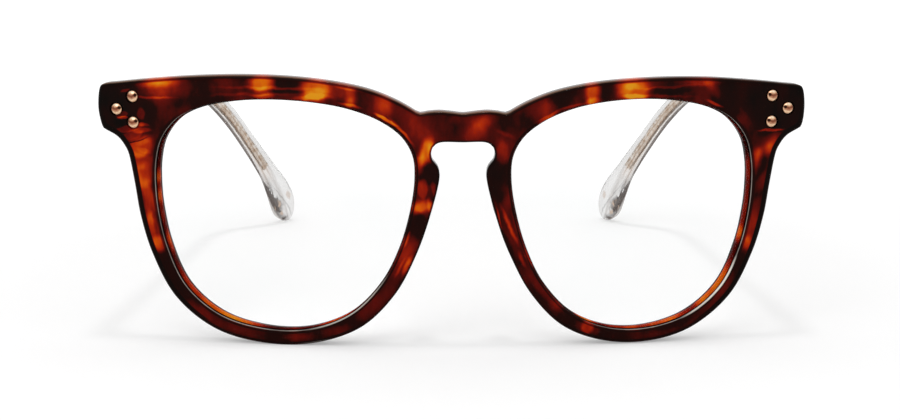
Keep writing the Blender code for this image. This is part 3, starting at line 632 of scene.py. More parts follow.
right_nose_chips = (
    (7.7, 39.6, 1.3, 2.4, 0, 0.6, 0.19), (7.0, 34.2, 2.2, 4.6, 6, 0.5, -0.14),
    (8.5, 31.0, 0.9, 2.6, 8, 0.9, 0.12), (9.2, 24.9, 0.34, 3.3, 23, 0.9, 0.36),
    (7.1, 26.2, 0.22, 2.0, 14, 0.7, 0.33), (10.9, 24.2, 0.36, 2.6, 20, 0.9, 0.2),
    (8.8, 20.4, 0.9, 3.4, 20, 0.6, -0.13), (12.9, 18.6, 0.4, 2.2, 24, 0.8, 0.36),
    (11.8, 17.9, 0.35, 1.5, 26, 0.8, 0.27), (15.6, 12.2, 0.7, 3.4, 38, 0.9, 0.19),
    (19.0, 8.5, 0.9, 1.4, 48, 0.9, 0.27), (25.6, 3.7, 1.2, 1.4, 12, 0.6, 0.48),
    (27.5, 3.3, 1.0, 1.0, 0, 0.9, 0.17), (23.9, 4.3, 0.8, 1.0, 30, 0.9, 0.12),
)
right_brow_chips = (
    (15.4, 48.2, 2.2, 2.2, 0, 0.9, 0.19), (16.8, 46.35, 2.2, 0.36, 27, 0.7, 0.41),
    (21.5, 48.35, 2.6, 0.24, 15, 0.8, 0.2), (20.0, 50.6, 2.6, 2.2, 0, 0.7, -0.11),
    (25.9, 51.1, 1.4, 2.6, 0, 0.7, 0.46), (26.1, 49.3, 1.5, 0.7, 10, 0.8, 0.28),
    (29.4, 51.2, 1.8, 2.4, 0, 0.6, -0.06), (34.7, 51.8, 3.3, 2.6, 0, 0.6, 0.52),
    (34.6, 52.2, 1.5, 0.7, 0, 0.8, 0.2), (35.0, 50.2, 2.4, 0.45, 0, 0.7, 0.31),
    (33.2, 51.2, 0.8, 1.3, 0, 0.9, 0.11), (42.0, 52.0, 5.6, 0.25, 3, 0.8, 0.12),
    (41.5, 50.25, 5.0, 0.22, -3, 0.8, 0.1), (42.0, 51.2, 4.0, 0.6, 0, 0.6, -0.11),
    (48.8, 52.9, 3.0, 0.8, 0, 0.8, 0.22), (51.4, 51.6, 0.8, 2.2, 38, 0.9, 0.17),
    (52.0, 48.55, 1.7, 0.28, -22, 0.7, 0.36), (56.0, 50.0, 4.5, 4.0, 0, 0.5, -0.1),
)
right_end_chips = (
    (66.2, 48.4, 6.6, 6.8, 0, 0.5, -0.2), (64.1, 42.9, 2.6, 0.26, 0, 0.5, 0.36),
    (64.4, 41.3, 1.9, 1.2, 32, 0.9, 0.2), (62.7, 38.8, 2.3, 1.1, 22, 0.9, 0.25),
    (64.0, 39.6, 0.9, 1.6, -24, 0.9, 0.17), (61.2, 36.6, 0.9, 2.3, 0, 0.9, 0.24),
    (62.1, 32.2, 0.8, 1.7, -14, 0.9, 0.19), (62.1, 35.6, 0.9, 3.0, -14, 0.9, -0.16),
    (61.9, 29.8, 1.2, 3.2, -6, 0.8, -0.1),
    (60.7, 24.0, 1.1, 4.2, -12, 0.8, 0.22), (59.6, 20.0, 1.1, 1.3, -14, 0.7, 0.25),
    (57.8, 15.2, 1.4, 3.2, -32, 0.5, -0.05), (54.8, 10.7, 3.8, 0.9, 54, 0.9, 0.23),
    (47.0, 3.4, 3.0, 0.7, 20, 0.9, 0.08), (42.0, 2.0, 3.0, 0.6, 8, 0.9, 0.09),
)

# Where a painted glow stands for light that has come through the acetate on the inner walls of the
# openings, and where painted glints lie on the polished arris round them.
wall_glows = (
    (-59.6, 33.6, 1.2, 1.4, 0, 0.8, 0.34), (-58.9, 29.4, 1.2, 1.6, 5, 0.8, 0.36),
    (-58.4, 25.4, 1.2, 2.0, 10, 0.8, 0.22), (-57.0, 20.6, 1.0, 2.2, 15, 0.8, 0.5),
    (-48.2, 7.2, 9.5, 3.0, -33, 0.7, 0.32), (-45.5, 5.0, 4.6, 2.0, -24, 0.9, 0.2),
    (-23.4, 5.2, 4.6, 1.6, 18, 0.8, 0.38), (-9.6, 40.5, 1.0, 5.0, 0, 0.7, 0.2),
    (-9.8, 29.6, 1.0, 2.6, 0, 0.7, 0.42), (60.1, 35.4, 1.2, 2.4, 0, 0.8, 0.16),
    (58.8, 25.6, 1.2, 2.6, -10, 0.8, 0.18),
    (58.1, 21.6, 1.0, 1.4, 0, 0.9, 0.44), (53.0, 11.0, 5.2, 2.6, 50, 0.6, 0.5),
    (43.2, 4.6, 4.0, 1.4, 12, 0.8, 0.46), (33.5, 3.4, 4.2, 1.2, 0, 0.9, 0.3),
    (25.4, 5.2, 2.2, 1.2, -22, 0.8, 0.56), (12.9, 18.8, 1.0, 3.0, 24, 0.8, 0.34),
)
arris_glints = (
    (54.4, 12.4, 4.6, 1.6, 53, 0.6, 0.9), (49.6, 7.4, 2.6, 1.6, 38, 0.9, 0.6),
    (-22.3, 7.6, 8.4, 1.8, 37, 0.8, 0.5),
)

# The sheet's tones, from black through dark red to yellow amber.
acetate_tones = (
    (0.0, colour(13, 8, 6)), (0.2, colour(35, 8, 5)), (0.38, colour(98, 15, 9)),
    (0.52, colour(149, 28, 9)), (0.64, colour(186, 46, 8)), (0.78, colour(220, 86, 8)),
    (0.9, colour(229, 120, 10)), (1.0, colour(236, 156, 28)),
)
chip_grain = 0.9 * mm
cloud_limits = (0.3, 0.7)
outer_shade_width = 1.6 * mm
inner_shade_width = 1.4 * mm
low_rim_shade = 0.25
rear_clearing = -0.7


def ovals(tree, place, rows, total):
    """Add soft-edged ovals to a running total; a row is x, z, half sizes, turn, border and strength."""
    for x, z, half_x, half_z, turn, border, strength in rows:
        reach = 1 / (1 - border / 2)
        oval = put(tree, "Mapping", {
            "Vector": place, "Location": (x, 0, z), "Rotation": (0, -math.radians(turn), 0),
            "Scale": (half_x * reach, 1, half_z * reach),
        }, vector_type="TEXTURE")
        shape = put(tree, "TexGradient", {"Vector": oval.outputs[0]}, gradient_type="SPHERICAL")
        level = put(tree, "MapRange", {
            "Value": shape.outputs["Fac"], "From Max": border, "To Max": strength,
        }, interpolation_type="SMOOTHSTEP")
        total = maths(tree, "ADD", total, level.outputs["Result"])
    return total


def chips(tree, place, rows, total):
    """Ovals whose rows are in mm on the front's face."""
    placed = [(x * mm + lean(x * mm), z * mm, a * mm, b * mm, *rest) for x, z, a, b, *rest in rows]
    return ovals(tree, place, placed, total)


tortoise, tree, shader = new_finish("tortoise_acetate")
spot = object_place(tree)
wander = put(tree, "TexNoise", {"Vector": spot, "Scale": 420.0, "Detail": 2.0}).outputs["Color"]
wander = put(tree, "VectorMath", {0: wander, 1: (0.5, 0.5, 0.5)}, operation="SUBTRACT").outputs[0]
wander = put(tree, "VectorMath", {0: wander, "Scale": chip_grain}, operation="SCALE").outputs[0]
wandered = put(tree, "VectorMath", {0: spot, 1: wander}, operation="ADD").outputs[0]
wandered = put(tree, "VectorMath", {0: wandered, 1: (1, 0, 1)}, operation="MULTIPLY").outputs[0]
stretched = drawn_out(tree, wandered, (1.0, 1.0, 0.55))
cloud = put(tree, "TexNoise", {
    "Vector": stretched, "Scale": 230.0, "Detail": 3.0, "Roughness": 0.55,
}).outputs["Fac"]
total = rising(tree, cloud, *cloud_limits, 0.17, 0.36)
for rows in (
    left_endpiece_chips, left_rim_chips, left_brow_chips, bridge_chips, left_nose_chips,
    right_nose_chips, right_brow_chips, right_end_chips,
):
    total = chips(tree, wandered, rows, total)
face_warmth_and_shade = maths(tree, "MAXIMUM", total, 0.0)
from_outline = kept_value(tree, "from_outline")
from_opening = kept_value(tree, "from_opening")
from_face = kept_value(tree, "from_face")
apart = put(tree, "SeparateXYZ", {0: spot})
sideways = maths(tree, "ABSOLUTE", apart.outputs["X"])
height = apart.outputs["Z"]

# Painted shade: the rounded edges bend the light away, so a dark line is painted round the front and
# round each opening. It is broad at the temples, thin under the rims and fades at the nose and the brow.
# The lower rims are painted a little darker as well, and behind the outer rounding most of the painted
# shade is lifted again.
below_brow = rising(tree, height, 48.0 * mm, 44.0 * mm)
at_temple = rising(tree, sideways, 46.0 * mm, 54.0 * mm)
at_nose = rising(tree, sideways, 20.0 * mm, 14.0 * mm)
out_share = times(tree, from_outline, 1 / outer_shade_width)
brow_shade = ramp_of(tree, out_share, ((0.0, 0.1), (0.12, 0.2), (0.24, 0.55), (0.36, 0.4), (0.5, 0.0)))
rim_shade = ramp_of(tree, out_share, ((0.0, 0.4), (0.12, 0.45), (0.26, 0.92), (0.7, 0.92), (0.84, 0.0)))
low_shade = ramp_of(tree, out_share, ((0.0, 0.2), (0.2, 0.25), (0.32, 0.7), (0.44, 0.65), (0.56, 0.0)))
nose_shade = ramp_of(tree, out_share, ((0.0, 0.5), (0.1, 0.6), (0.22, 0.3), (0.34, 0.0)))
outer_shade = mixed(tree, at_temple, low_shade, rim_shade)
outer_shade = mixed(tree, at_nose, outer_shade, nose_shade)
outer_shade = mixed(tree, below_brow, brow_shade, outer_shade)
in_share = times(tree, from_opening, 1 / inner_shade_width)
wide_shade = ramp_of(tree, in_share, ((0.0, 0.35), (0.15, 0.45), (0.36, 0.4), (0.56, 0.0)))
thin_shade = ramp_of(tree, in_share, ((0.0, 0.15), (0.2, 0.2), (0.32, 0.6), (0.42, 0.5), (0.52, 0.0)))
inner_shade = mixed(tree, at_temple, thin_shade, wide_shade)
shade = maths(tree, "MAXIMUM", outer_shade, times(tree, inner_shade, below_brow))
on_edge = rising(tree, from_outline, 0.3 * mm, 0.16 * mm)
behind_round = times(tree, rising(tree, from_face, 0.8 * mm, 1.3 * mm), on_edge)
shade = times(tree, shade, maths(tree, "MULTIPLY_ADD", behind_round, rear_clearing, 1.0))
low_rim = rising(tree, height, 20.0 * mm, 12.0 * mm)
shade = maths(tree, "MAXIMUM", shade, times(tree, low_rim, low_rim_shade))
# The painted shade darkens the sheet's warmth on the face.
face_warmth_and_shade = times(tree, face_warmth_and_shade, maths(tree, "SUBTRACT", 1.0, shade))

# On the walls of the openings a painted glow stands for the light that comes through, brightest between
# the rounding and the groove. The sheet's cloud is painted brighter there, and the wall's front part
# and its rear edge are painted in shade.
past_round = rising(tree, from_face, 0.5 * mm, 0.6 * mm)
on_wall = times(tree, rising(tree, from_opening, 1.2 * mm, 1.0 * mm), past_round)
wall_cloud = rising(tree, cloud, *cloud_limits, 0.2, 0.46)
wall_pattern_glow_and_shade = chips(tree, wandered, wall_glows, wall_cloud)
wall_shade = ramp_of(tree, times(tree, from_face, 1 / front_thickness), (
    (0.2, 0.1), (0.28, 0.15), (0.36, 1.0), (0.78, 1.0), (0.86, 0.1),
))
wall_pattern_glow_and_shade = times(tree, wall_pattern_glow_and_shade, wall_shade)
# From here the warmth carries the sheet's pattern with the painted shade and the painted wall glow.
warmth = mixed(tree, on_wall, face_warmth_and_shade, wall_pattern_glow_and_shade)
tone = ramp_of(tree, warmth, acetate_tones)

# Painted highlights: the top edge, less so towards the right, and the polished arris of each opening are
# painted lighter where they would catch the light, and painted glints are laid on the arris. On the arris
# the painted highlight shows on the side that lies outwards and below the opening's middle, broken by the
# cloud in the sheet.
normal = put(tree, "SeparateXYZ", {0: put(tree, "TexCoord").outputs["Normal"]})
facing_up = rising(tree, normal.outputs["Z"], 0.55, 0.85)
top_light = times(tree, on_edge, facing_up)
top_light = times(tree, top_light, rising(tree, from_face, 2.4 * mm, 1.2 * mm))
towards_right = rising(tree, apart.outputs["X"], 28.0 * mm, 44.0 * mm, 0.34, 0.08)
top_light = times(tree, top_light, towards_right)
tone = tinted(tree, top_light, tone, colour(176, 140, 116))
on_arris = rising(tree, from_face, 0.12 * mm, 0.2 * mm)
on_arris = times(tree, on_arris, rising(tree, from_face, 0.36 * mm, 0.26 * mm))
on_arris = times(tree, on_arris, rising(tree, from_opening, 0.5 * mm, 0.44 * mm))
lit_outwards = 1.3 / (25.0 * mm)
lit_downwards = 0.75 / (lens_height / 2)
outwards = maths(tree, "MULTIPLY_ADD", sideways, lit_outwards, -lit_outwards * lens_centre.x)
downwards = maths(tree, "MULTIPLY_ADD", height, -lit_downwards, lit_downwards * lens_centre.y)
lit_side = rising(tree, maths(tree, "ADD", outwards, downwards), 0.2, 0.6)
broken = rising(tree, cloud, 0.3, 0.6, 0.24, 0.66)
arris_light = times(tree, times(tree, on_arris, lit_side), broken)
tone = tinted(tree, arris_light, tone, colour(206, 196, 186))
glint = rising(tree, from_face, 0.04 * mm, 0.12 * mm)
glint = times(tree, glint, rising(tree, from_face, 0.62 * mm, 0.45 * mm))
glint = times(tree, glint, chips(tree, wandered, arris_glints, 0.0))
tone = tinted(tree, glint, tone, colour(250, 244, 232))
tree.links.new(tone, shader.inputs["Base Color"])
shader.inputs["Roughness"].default_value = 0.09
shader.inputs["Specular IOR Level"].default_value = 0.025
finish_in(front, tortoise)
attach(front, "front_group")
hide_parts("front")

# The lenses
# Clear demo lenses, 1.8 mm thick and slightly domed.  The warmed rim is sprung over each so that its
# bevelled edge sits in the V groove, where the acetate round it shows through.

lens_thickness = 1.8 * mm
lens_dome = 1.1 * mm
lens_bite = 0.5 * mm
lens_clearance = 0.12 * mm
lens_rim_width = 1.1 * lens_bite
lens_turned_width = 40 * lens_width  # so wide that the whole of a lens turns with the wrap
dome_shares = (0.03, 0.15, 0.3, 0.45, 0.6, 0.75, 0.88, 1.0)


def lens_rings(loop):
    """Rings from the front pole out to the bevel and back in to the rear pole."""
    centre = sum(loop, Vector((0, 0))) / len(loop)
    inner = offset_loop(loop, -lens_clearance)
    rings = []
    for side, shares in ((-1, dome_shares), (1, tuple(reversed(dome_shares)))):
        for share in shares:
            back = groove_y + side * lens_thickness / 2 - lens_dome * (1 - share ** 2)
            rings.append([(centre + (point - centre) * share, back) for point in inner])
        if side < 0:
            rings.append([(point, groove_y) for point in offset_loop(loop, lens_bite)])
    return [[(point.x, back, point.y) for point, back in ring] for ring in rings]


demo_lens, tree, shader = new_finish("demo_lens")
shader.inputs["Transmission Weight"].default_value = 1.0
shader.inputs["Roughness"].default_value = 0.0
shader.inputs["IOR"].default_value = 1.12
haze = noise(tree, object_place(tree), 60.0)
haze = ramp_of(tree, haze, ((0.3, colour(255, 255, 255)), (0.7, colour(253, 254, 254))))
tree.links.new(haze, shader.inputs["Base Color"])
for side, loop in (("right", right_opening), ("left", left_opening)):
    lens = skin("clear_lens_" + side, lens_rings(loop))
    close_ends(lens)
    remember_edges(lens)
    finish_in(lens, demo_lens, tortoise)
    # The faces of the lens's bevelled rim take the tortoise finish, which paints in the acetate that would
    # be seen through the bevel.
    for face in lens.data.polygons:
        corners = [lens.data.vertices[index].co.xz for index in face.vertices]
        at_rim = all(opening_tree.find((*corner, 0))[2] < lens_rim_width for corner in corners)
        face.material_index = int(at_rim)
    bend(lens, lens_turned_width)
    lens.visible_shadow = False  # a clear lens this thin leaves none on the table
    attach(lens, "front_group")
    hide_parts("lens_" + side)

# The nose pads
# Crescents of the same acetate, glued behind the rims beside the keyhole and polished over, so that
# only a thin edge of each shows past the step.

pad_length = 16.5 * mm
pad_depth = 4.6 * mm
pad_width = 3.3 * mm
pad_rise = 2.4 * mm
pad_overhang = 0.1 * mm
pad_end_width_share = 0.55
pad_swell_power = 0.7
pad_gap = 0.3 * mm
pad_turned_width = pad_gap / 100  # so narrow that a pad's depth stays square to the face
pad_stations = 44
crown_steps = 4
pad_section_shares = (
    (0.0, 0.0), (-0.03, 0.3), (0.1, 0.72), (0.38, 0.98), (0.68, 0.92), (0.92, 0.5), (1.0, 0.0),
)


def nose_edge_x(z):
    """The right rim's edge on the nose side at a height, read along the outer edge's own points."""
    nose = half[-2 - len(keyhole_shares) - len(nasal_rim_shares):]
    for lower, upper in zip(nose, nose[1:]):
        if lower.y <= z <= upper.y:
            return lower.x + (upper.x - lower.x) * (z - lower.y) / (upper.y - lower.y)
    return pad_step.x


def crowned(points):
    """The pad's section with its crown rounded and its glued side left straight."""
    fine = []
    for i in range(len(points) - 1):
        before, after = points[max(i - 1, 0)], points[min(i + 2, len(points) - 1)]
        if i == 0:
            before = points[0] * 2 - points[1]
        if i == len(points) - 2:
            after = points[-1] * 2 - points[-2]
        for k in range(crown_steps):
            fine.append(curve_point(before, points[i], points[i + 1], after, k / crown_steps))
    return fine + [points[-1]]


def pad_rings(sign):
    """A pad's sections from its top down, fuller in the middle; the sign is the side it is on."""
    top = pad_step.y + pad_rise
    section = crowned([Vector(share) for share in pad_section_shares])
    rings = []
    for i in range(1, pad_stations):
        t = i / pad_stations
        z = top - pad_length * t
        swell = math.sin(math.pi * t) ** pad_swell_power
        width = pad_width * (pad_end_width_share + (1 - pad_end_width_share) * swell)
        middle = nose_edge_x(z) - pad_overhang + pad_width / 2
        ring = []
        for share in section:
            x = sign * (middle + width * (share.x - 0.5))
            back = front_thickness + pad_gap + share.y * pad_depth * swell
            ring.append((x + lean(x), back, z))
        rings.append(ring)
    return rings


for side, sign in (("right", 1), ("left", -1)):
    pad = skin("acetate_pad_" + side, pad_rings(sign))
    close_ends(pad)
    remember_edges(pad)
    bend(pad, pad_turned_width)
    finish_in(pad, tortoise)
    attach(pad, "front_group")
    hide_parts("nose_pad_" + side)

# The rivets
# Rose-gold pins with domed, hammered heads, three in each end-piece.  Each is pressed into a hole
# drilled in the front, and its head beds in a shallow turned seat.

rivet_radius = 1.15 * mm
shank_radius = 0.6 * mm
shank_depth = 1.7 * mm
head_height = 0.55 * mm
rivet_sides = 40
dome_steps = 12
dome_radius = (rivet_radius ** 2 + head_height ** 2) / (2 * head_height)
dent_depth = 0.26
outward_lean = -0.22
aside_darkening = -0.35
towards_rim_glow = (0.235, -0.972, 0.0)
towards_dark_reflection = (-0.31, -0.93, 0.2)
# The heads' colour is painted reflection, set by which way each part of the dome faces: bright and brown
# rings, a painted dark edge and bright ring round the rim, and a painted dark spot where something dark
# would be mirrored. The noise called dent stands for the hammer dents and breaks these up.
rose_gold, tree, shader = new_finish("rose_gold")
dent = noise(tree, object_place(tree), 2600.0, 1.0)
dent = maths(tree, "MULTIPLY_ADD", dent, dent_depth, -dent_depth / 2)
which_side = maths(tree, "SIGN", put(tree, "SeparateXYZ", {0: object_place(tree)}).outputs["X"])
surface = put(tree, "TexCoord").outputs["Normal"]
turned = put(tree, "SeparateXYZ", {0: surface})


def facing(across, ahead, up):
    """How squarely a rivet's surface faces a direction, given for the right-hand rivets."""
    across = times(tree, which_side, across)
    towards = put(tree, "CombineXYZ", {0: across, 1: ahead, 2: up}).outputs[0]
    return put(tree, "VectorMath", {0: surface, 1: towards}, operation="DOT_PRODUCT").outputs["Value"]


aside = maths(tree, "MULTIPLY_ADD", which_side, outward_lean, turned.outputs["X"])
aside = maths(tree, "ABSOLUTE", aside)
level = maths(tree, "ADD", turned.outputs["Z"], dent)
level = maths(tree, "MULTIPLY_ADD", aside, aside_darkening, level)
tone = ramp_of(tree, maths(tree, "MULTIPLY_ADD", level, 0.5, 0.5), (
    (0.08, colour(116, 70, 50)), (0.17, colour(214, 172, 136)), (0.24, colour(236, 202, 166)),
    (0.32, colour(186, 138, 108)), (0.4, colour(158, 106, 80)), (0.47, colour(116, 66, 46)),
    (0.54, colour(124, 72, 52)), (0.61, colour(176, 124, 94)), (0.69, colour(222, 182, 146)),
    (0.8, colour(250, 228, 200)),
))
# A painted dark edge and bright reflected ring round the edge of each head.
from_rim = facing(*towards_rim_glow)
rim_reflection_tone = ramp_of(tree, from_rim, (
    (0.63, colour(74, 42, 28)), (0.67, colour(172, 122, 92)), (0.72, colour(238, 206, 172)),
))
tone = tinted(tree, rising(tree, from_rim, 0.77, 0.7), tone, rim_reflection_tone)
# A painted dark reflection on the side of each head that faces the dark direction.
dark_reflection_spot = maths(tree, "MULTIPLY_ADD", dent, 0.1, facing(*towards_dark_reflection))
tone = tinted(tree, rising(tree, dark_reflection_spot, 0.962, 0.984), tone, colour(46, 22, 14))
tree.links.new(tone, shader.inputs["Base Color"])
shader.inputs["Metallic"].default_value = 1.0
shader.inputs["Roughness"].default_value = 0.22
rivet_profile = [(shank_radius, -shank_depth), (shank_radius, 0), (rivet_radius, 0)]
for k in range(1, dome_steps):
    angle = math.asin(rivet_radius / dome_radius) * (1 - k / dome_steps)
    out = head_height - dome_radius * (1 - math.cos(angle))
    rivet_profile.append((dome_radius * math.sin(angle), out))
turns = [2 * math.pi * k / rivet_sides for k in range(rivet_sides)]
for node, place in rivets.items():
    wrap_turn = math.asin(place.x / wrap_radius)
    seat = Matrix.Translation((place.x, face_y + sag(place.x), place.z))
    seat = seat @ Matrix.Rotation(wrap_turn, 4, "Z") @ Matrix.Rotation(math.pi / 2, 4, "X")
    rings = []
    for radius, out in rivet_profile:
        rings.append([seat @ Vector((radius * math.cos(t), radius * math.sin(t), out)) for t in turns])
    rivet = skin("domed_" + node, rings)
    close_ends(rivet)
    finish_in(rivet, rose_gold)
    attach(rivet, "front_group")
    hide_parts(node)

# The hinges
# Five-barrel hinges of satin steel: three barrels on the leaf let into the end-piece, two on the
# leaf let into the temple, and one slotted screw through them all.

hinge_steel, tree, shader = new_finish("hinge_steel")
brushed = noise(tree, drawn_out(tree, object_place(tree), (1.0, 1.0, 0.06)), 5000.0)
tone = ramp_of(tree, brushed, ((0.3, colour(184, 184, 187)), (0.7, colour(218, 218, 220))))
tree.links.new(tone, shader.inputs["Base Color"])
tree.links.new(maths(tree, "MULTIPLY_ADD", brushed, 0.2, 0.2), shader.inputs["Roughness"])
shader.inputs["Metallic"].default_value = 1.0
for side in ("left", "right"):
    for node in ("hinge_front_leaf_", "hinge_temple_leaf_", "hinge_screw_"):
        finish_in(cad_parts[node + side], hinge_steel)

# The temples
# Clear crystal acetate, injected round a flat metal core, then milled, bent down behind the ear and
# turned in.  The butt is mitred to meet the end-piece.

temple_length = 145.0 * mm
temple_thickness = 3.3 * mm
temple_tip_thickness = 2.7 * mm
temple_height_hinge = 8.6 * mm
temple_height_bend = 4.3 * mm
temple_height_paddle = 7.9 * mm
temple_edge_round = 0.9 * mm
bend_start = 87.0 * mm
bend_radius = 28.0 * mm
bend_angle = math.radians(53.5)
toe_in = math.radians(4.0)
hook_inset = 13.8 * mm
tip_twist = math.radians(33.0)
tip_length = 7.0 * mm
tip_lift = 1.4 * mm
tip_reach = 0.9 * mm
side_inset = 0.4 * mm
tip_steps = 12
tip_end_share = 0.18
section_steps = 4
round_limit_share = 0.42
breadth_by_thickness = 0.45
breadth_by_height = 0.55
turning_sharpness = 4
hinge_offset = 1.6 * mm
waist_shares = ((0.0, 0.0), (0.12, 0.16), (0.4, 0.75), (0.62, 1.0))
paddle_shares = ((0.78, 0.0), (0.88, 0.38), (0.95, 1.0), (1.0, 1.0))
hook_inset_start_share = 0.1
hook_inset_end_share = 0.95
twist_end_share = 0.9
temple_lead = 3.0 * mm
temple_step = 1.5 * mm
resting_slope = math.radians(4.425)
seat_gap = 0.3 * mm
barrel_radius = 1.35 * mm
temple_leaf_start = -0.45 * barrel_radius
temple_leaf_length = 8.6 * mm
temple_leaf_end = temple_leaf_start + temple_leaf_length
temple_leaf_height = 5.6 * mm
temple_leaf_thickness = 1.0 * mm
anchor_length = 2.3 * mm
anchor_height = 3.0 * mm
anchor_depth = 2.1 * mm
hinge_x = front_half_width - side_inset - temple_thickness - hinge_offset
butt_turn = math.asin(hinge_x / wrap_radius)
hinge_y = face_y + sag(hinge_x) + front_thickness + hinge_offset / math.cos(butt_turn)


def hinge_place(angle):
    """A frame on the right hinge's axis; its X runs outwards and its Y rearwards."""
    return Matrix.Translation((hinge_x, hinge_y, endpiece_middle)) @ Matrix.Rotation(angle, 4, "Z")


def share_between(table, at):
    """Read a table of (place share, value share) with straight lines between its rows."""
    for (place_a, value_a), (place_b, value_b) in zip(table, table[1:]):
        if at <= place_b:
            return value_a + (value_b - value_a) * max(0.0, at - place_a) / (place_b - place_a)
    return table[-1][1]


def hook_share(distance):
    """How far along the hook, from the bend's start to the tip, a distance lies."""
    return (distance - bend_start) / (temple_length - bend_start)


def centre_line(distance):
    """A point of the centre line in the hinge frame: straight, round the bend, straight again."""
    straight = min(distance, bend_start)
    turned_by = min(max((distance - bend_start) / bend_radius, 0), bend_angle)
    hook = max(distance - bend_start - bend_radius * bend_angle, 0)
    here = resting_slope + turned_by
    ahead = straight * math.cos(resting_slope) + hook * math.cos(here)
    ahead += bend_radius * (math.sin(here) - math.sin(resting_slope))
    down = straight * math.sin(resting_slope) + hook * math.sin(here)
    down += bend_radius * (math.cos(resting_slope) - math.cos(here))
    span = hook_inset_end_share - hook_inset_start_share
    inset = hook_inset * ease((hook_share(distance) - hook_inset_start_share) / span)
    return Vector((hinge_offset + temple_thickness / 2 - inset, ahead, -down))


def temple_frame(distance):
    """The centre line's point at a distance, and the directions across and up there."""
    place = hinge_place(toe_in)
    short = temple_step / 3
    ahead = (centre_line(distance + short) - centre_line(distance - short)).normalized()
    level_up = Vector((1, 0, 0)).cross(ahead).normalized()
    twist = tip_twist * ease(hook_share(distance) / twist_end_share)
    up = Matrix.Rotation(-twist, 3, ahead) @ level_up
    rotate = place.to_3x3()
    return place @ centre_line(distance), rotate @ ahead.cross(up), rotate @ up


def temple_height_at(distance):
    """The temple's height at a distance: full at the hinge, slim at the waist, wide at the paddle."""
    share = distance / temple_length
    height = temple_height_hinge
    height += (temple_height_bend - temple_height_hinge) * share_between(waist_shares, share)
    return height + (temple_height_paddle - temple_height_bend) * ease(share_between(paddle_shares, share))


def rounded_section(thickness, height, radius, corner_steps):
    """A rectangle with rounded corners, as (across, up) points."""
    points = []
    for corner, (side_a, side_b) in enumerate(((1, 1), (-1, 1), (-1, -1), (1, -1))):
        for k in range(corner_steps + 1):
            turn = math.pi / 2 * (corner + k / corner_steps)
            across = side_a * (thickness / 2 - radius) + radius * math.cos(turn)
            points.append((across, side_b * (height / 2 - radius) + radius * math.sin(turn)))
    return points


def temple_sections():
    """(distance, size share) of every section, closing down to a rounded tip."""
    tip_start = temple_length - tip_length
    count = round((tip_start + temple_lead) / temple_step)
    sections = [(tip_start * k / count - temple_lead * (1 - k / count), 1) for k in range(count + 1)]
    for k in range(1, tip_steps + 1):
        angle = k * math.pi / 2 / tip_steps
        size_share = max(math.cos(angle), tip_end_share)
        sections.append((tip_start + tip_length * math.sin(angle), size_share))
    return sections


def temple_rings():
    """The temple's sections, how far each point lies across the breadth and along the length, and
    where the outer face starts that turns away from the camera."""
    rings = []
    kept = {"breadth": [], "along": [], "turned_away": []}
    for distance, scale in temple_sections():
        centre, across, up = temple_frame(distance)
        thinning = (temple_tip_thickness - temple_thickness) * ease(hook_share(distance))
        thickness = (temple_thickness + thinning) * math.sqrt(scale)
        height = temple_height_at(distance) * scale
        radius = min(temple_edge_round * scale, min(thickness, height) * round_limit_share)
        section = rounded_section(thickness, height, radius, section_steps)
        centre += (up * tip_lift + up.cross(across) * tip_reach) * (1 - scale)
        rings.append([centre + across * a + up * b for a, b in section])
        breadths, turns_away = [], []
        for a, b in section:
            breadths.append(0.5 - breadth_by_thickness * a / thickness + breadth_by_height * b / height)
            turns_away.append(ease(turning_sharpness * (a / thickness + b / height)))
        kept["breadth"].append(breadths)
        kept["along"].append([distance / temple_length] * len(section))
        kept["turned_away"].append(turns_away)
    return rings, kept


def mirrored(piece, name):
    """The left-hand twin of a right-hand piece."""
    select_only(piece)
    bpy.ops.object.duplicate()
    twin = bpy.context.object
    twin.name = name
    twin.data.name = name
    twin.data.transform(Matrix.Scale(-1, 4, Vector((1, 0, 0))))
    twin.data.flip_normals()
    return twin


temple = skin("crystal_temple_right", *temple_rings())
close_ends(temple)
far = 9.0 * mm
butt_end = (far, seat_gap - hinge_offset, far)
cut(temple, box_cutter((-far, -far, -far), butt_end, hinge_place(butt_turn)))
pocket_end = temple_leaf_end + seat_gap
half_pocket = temple_leaf_height / 2 + seat_gap
cut(temple, box_cutter(
    (0, -far, -half_pocket),
    (hinge_offset + temple_leaf_thickness + seat_gap, pocket_end, half_pocket), hinge_place(toe_in),
))
cut(temple, box_cutter(
    (0, temple_leaf_end - anchor_length, -anchor_height / 2),
    (hinge_offset + anchor_depth + seat_gap, pocket_end, anchor_height / 2), hinge_place(toe_in),
))
select_only(temple)
bpy.ops.object.shade_smooth_by_angle(angle=smooth_angle)

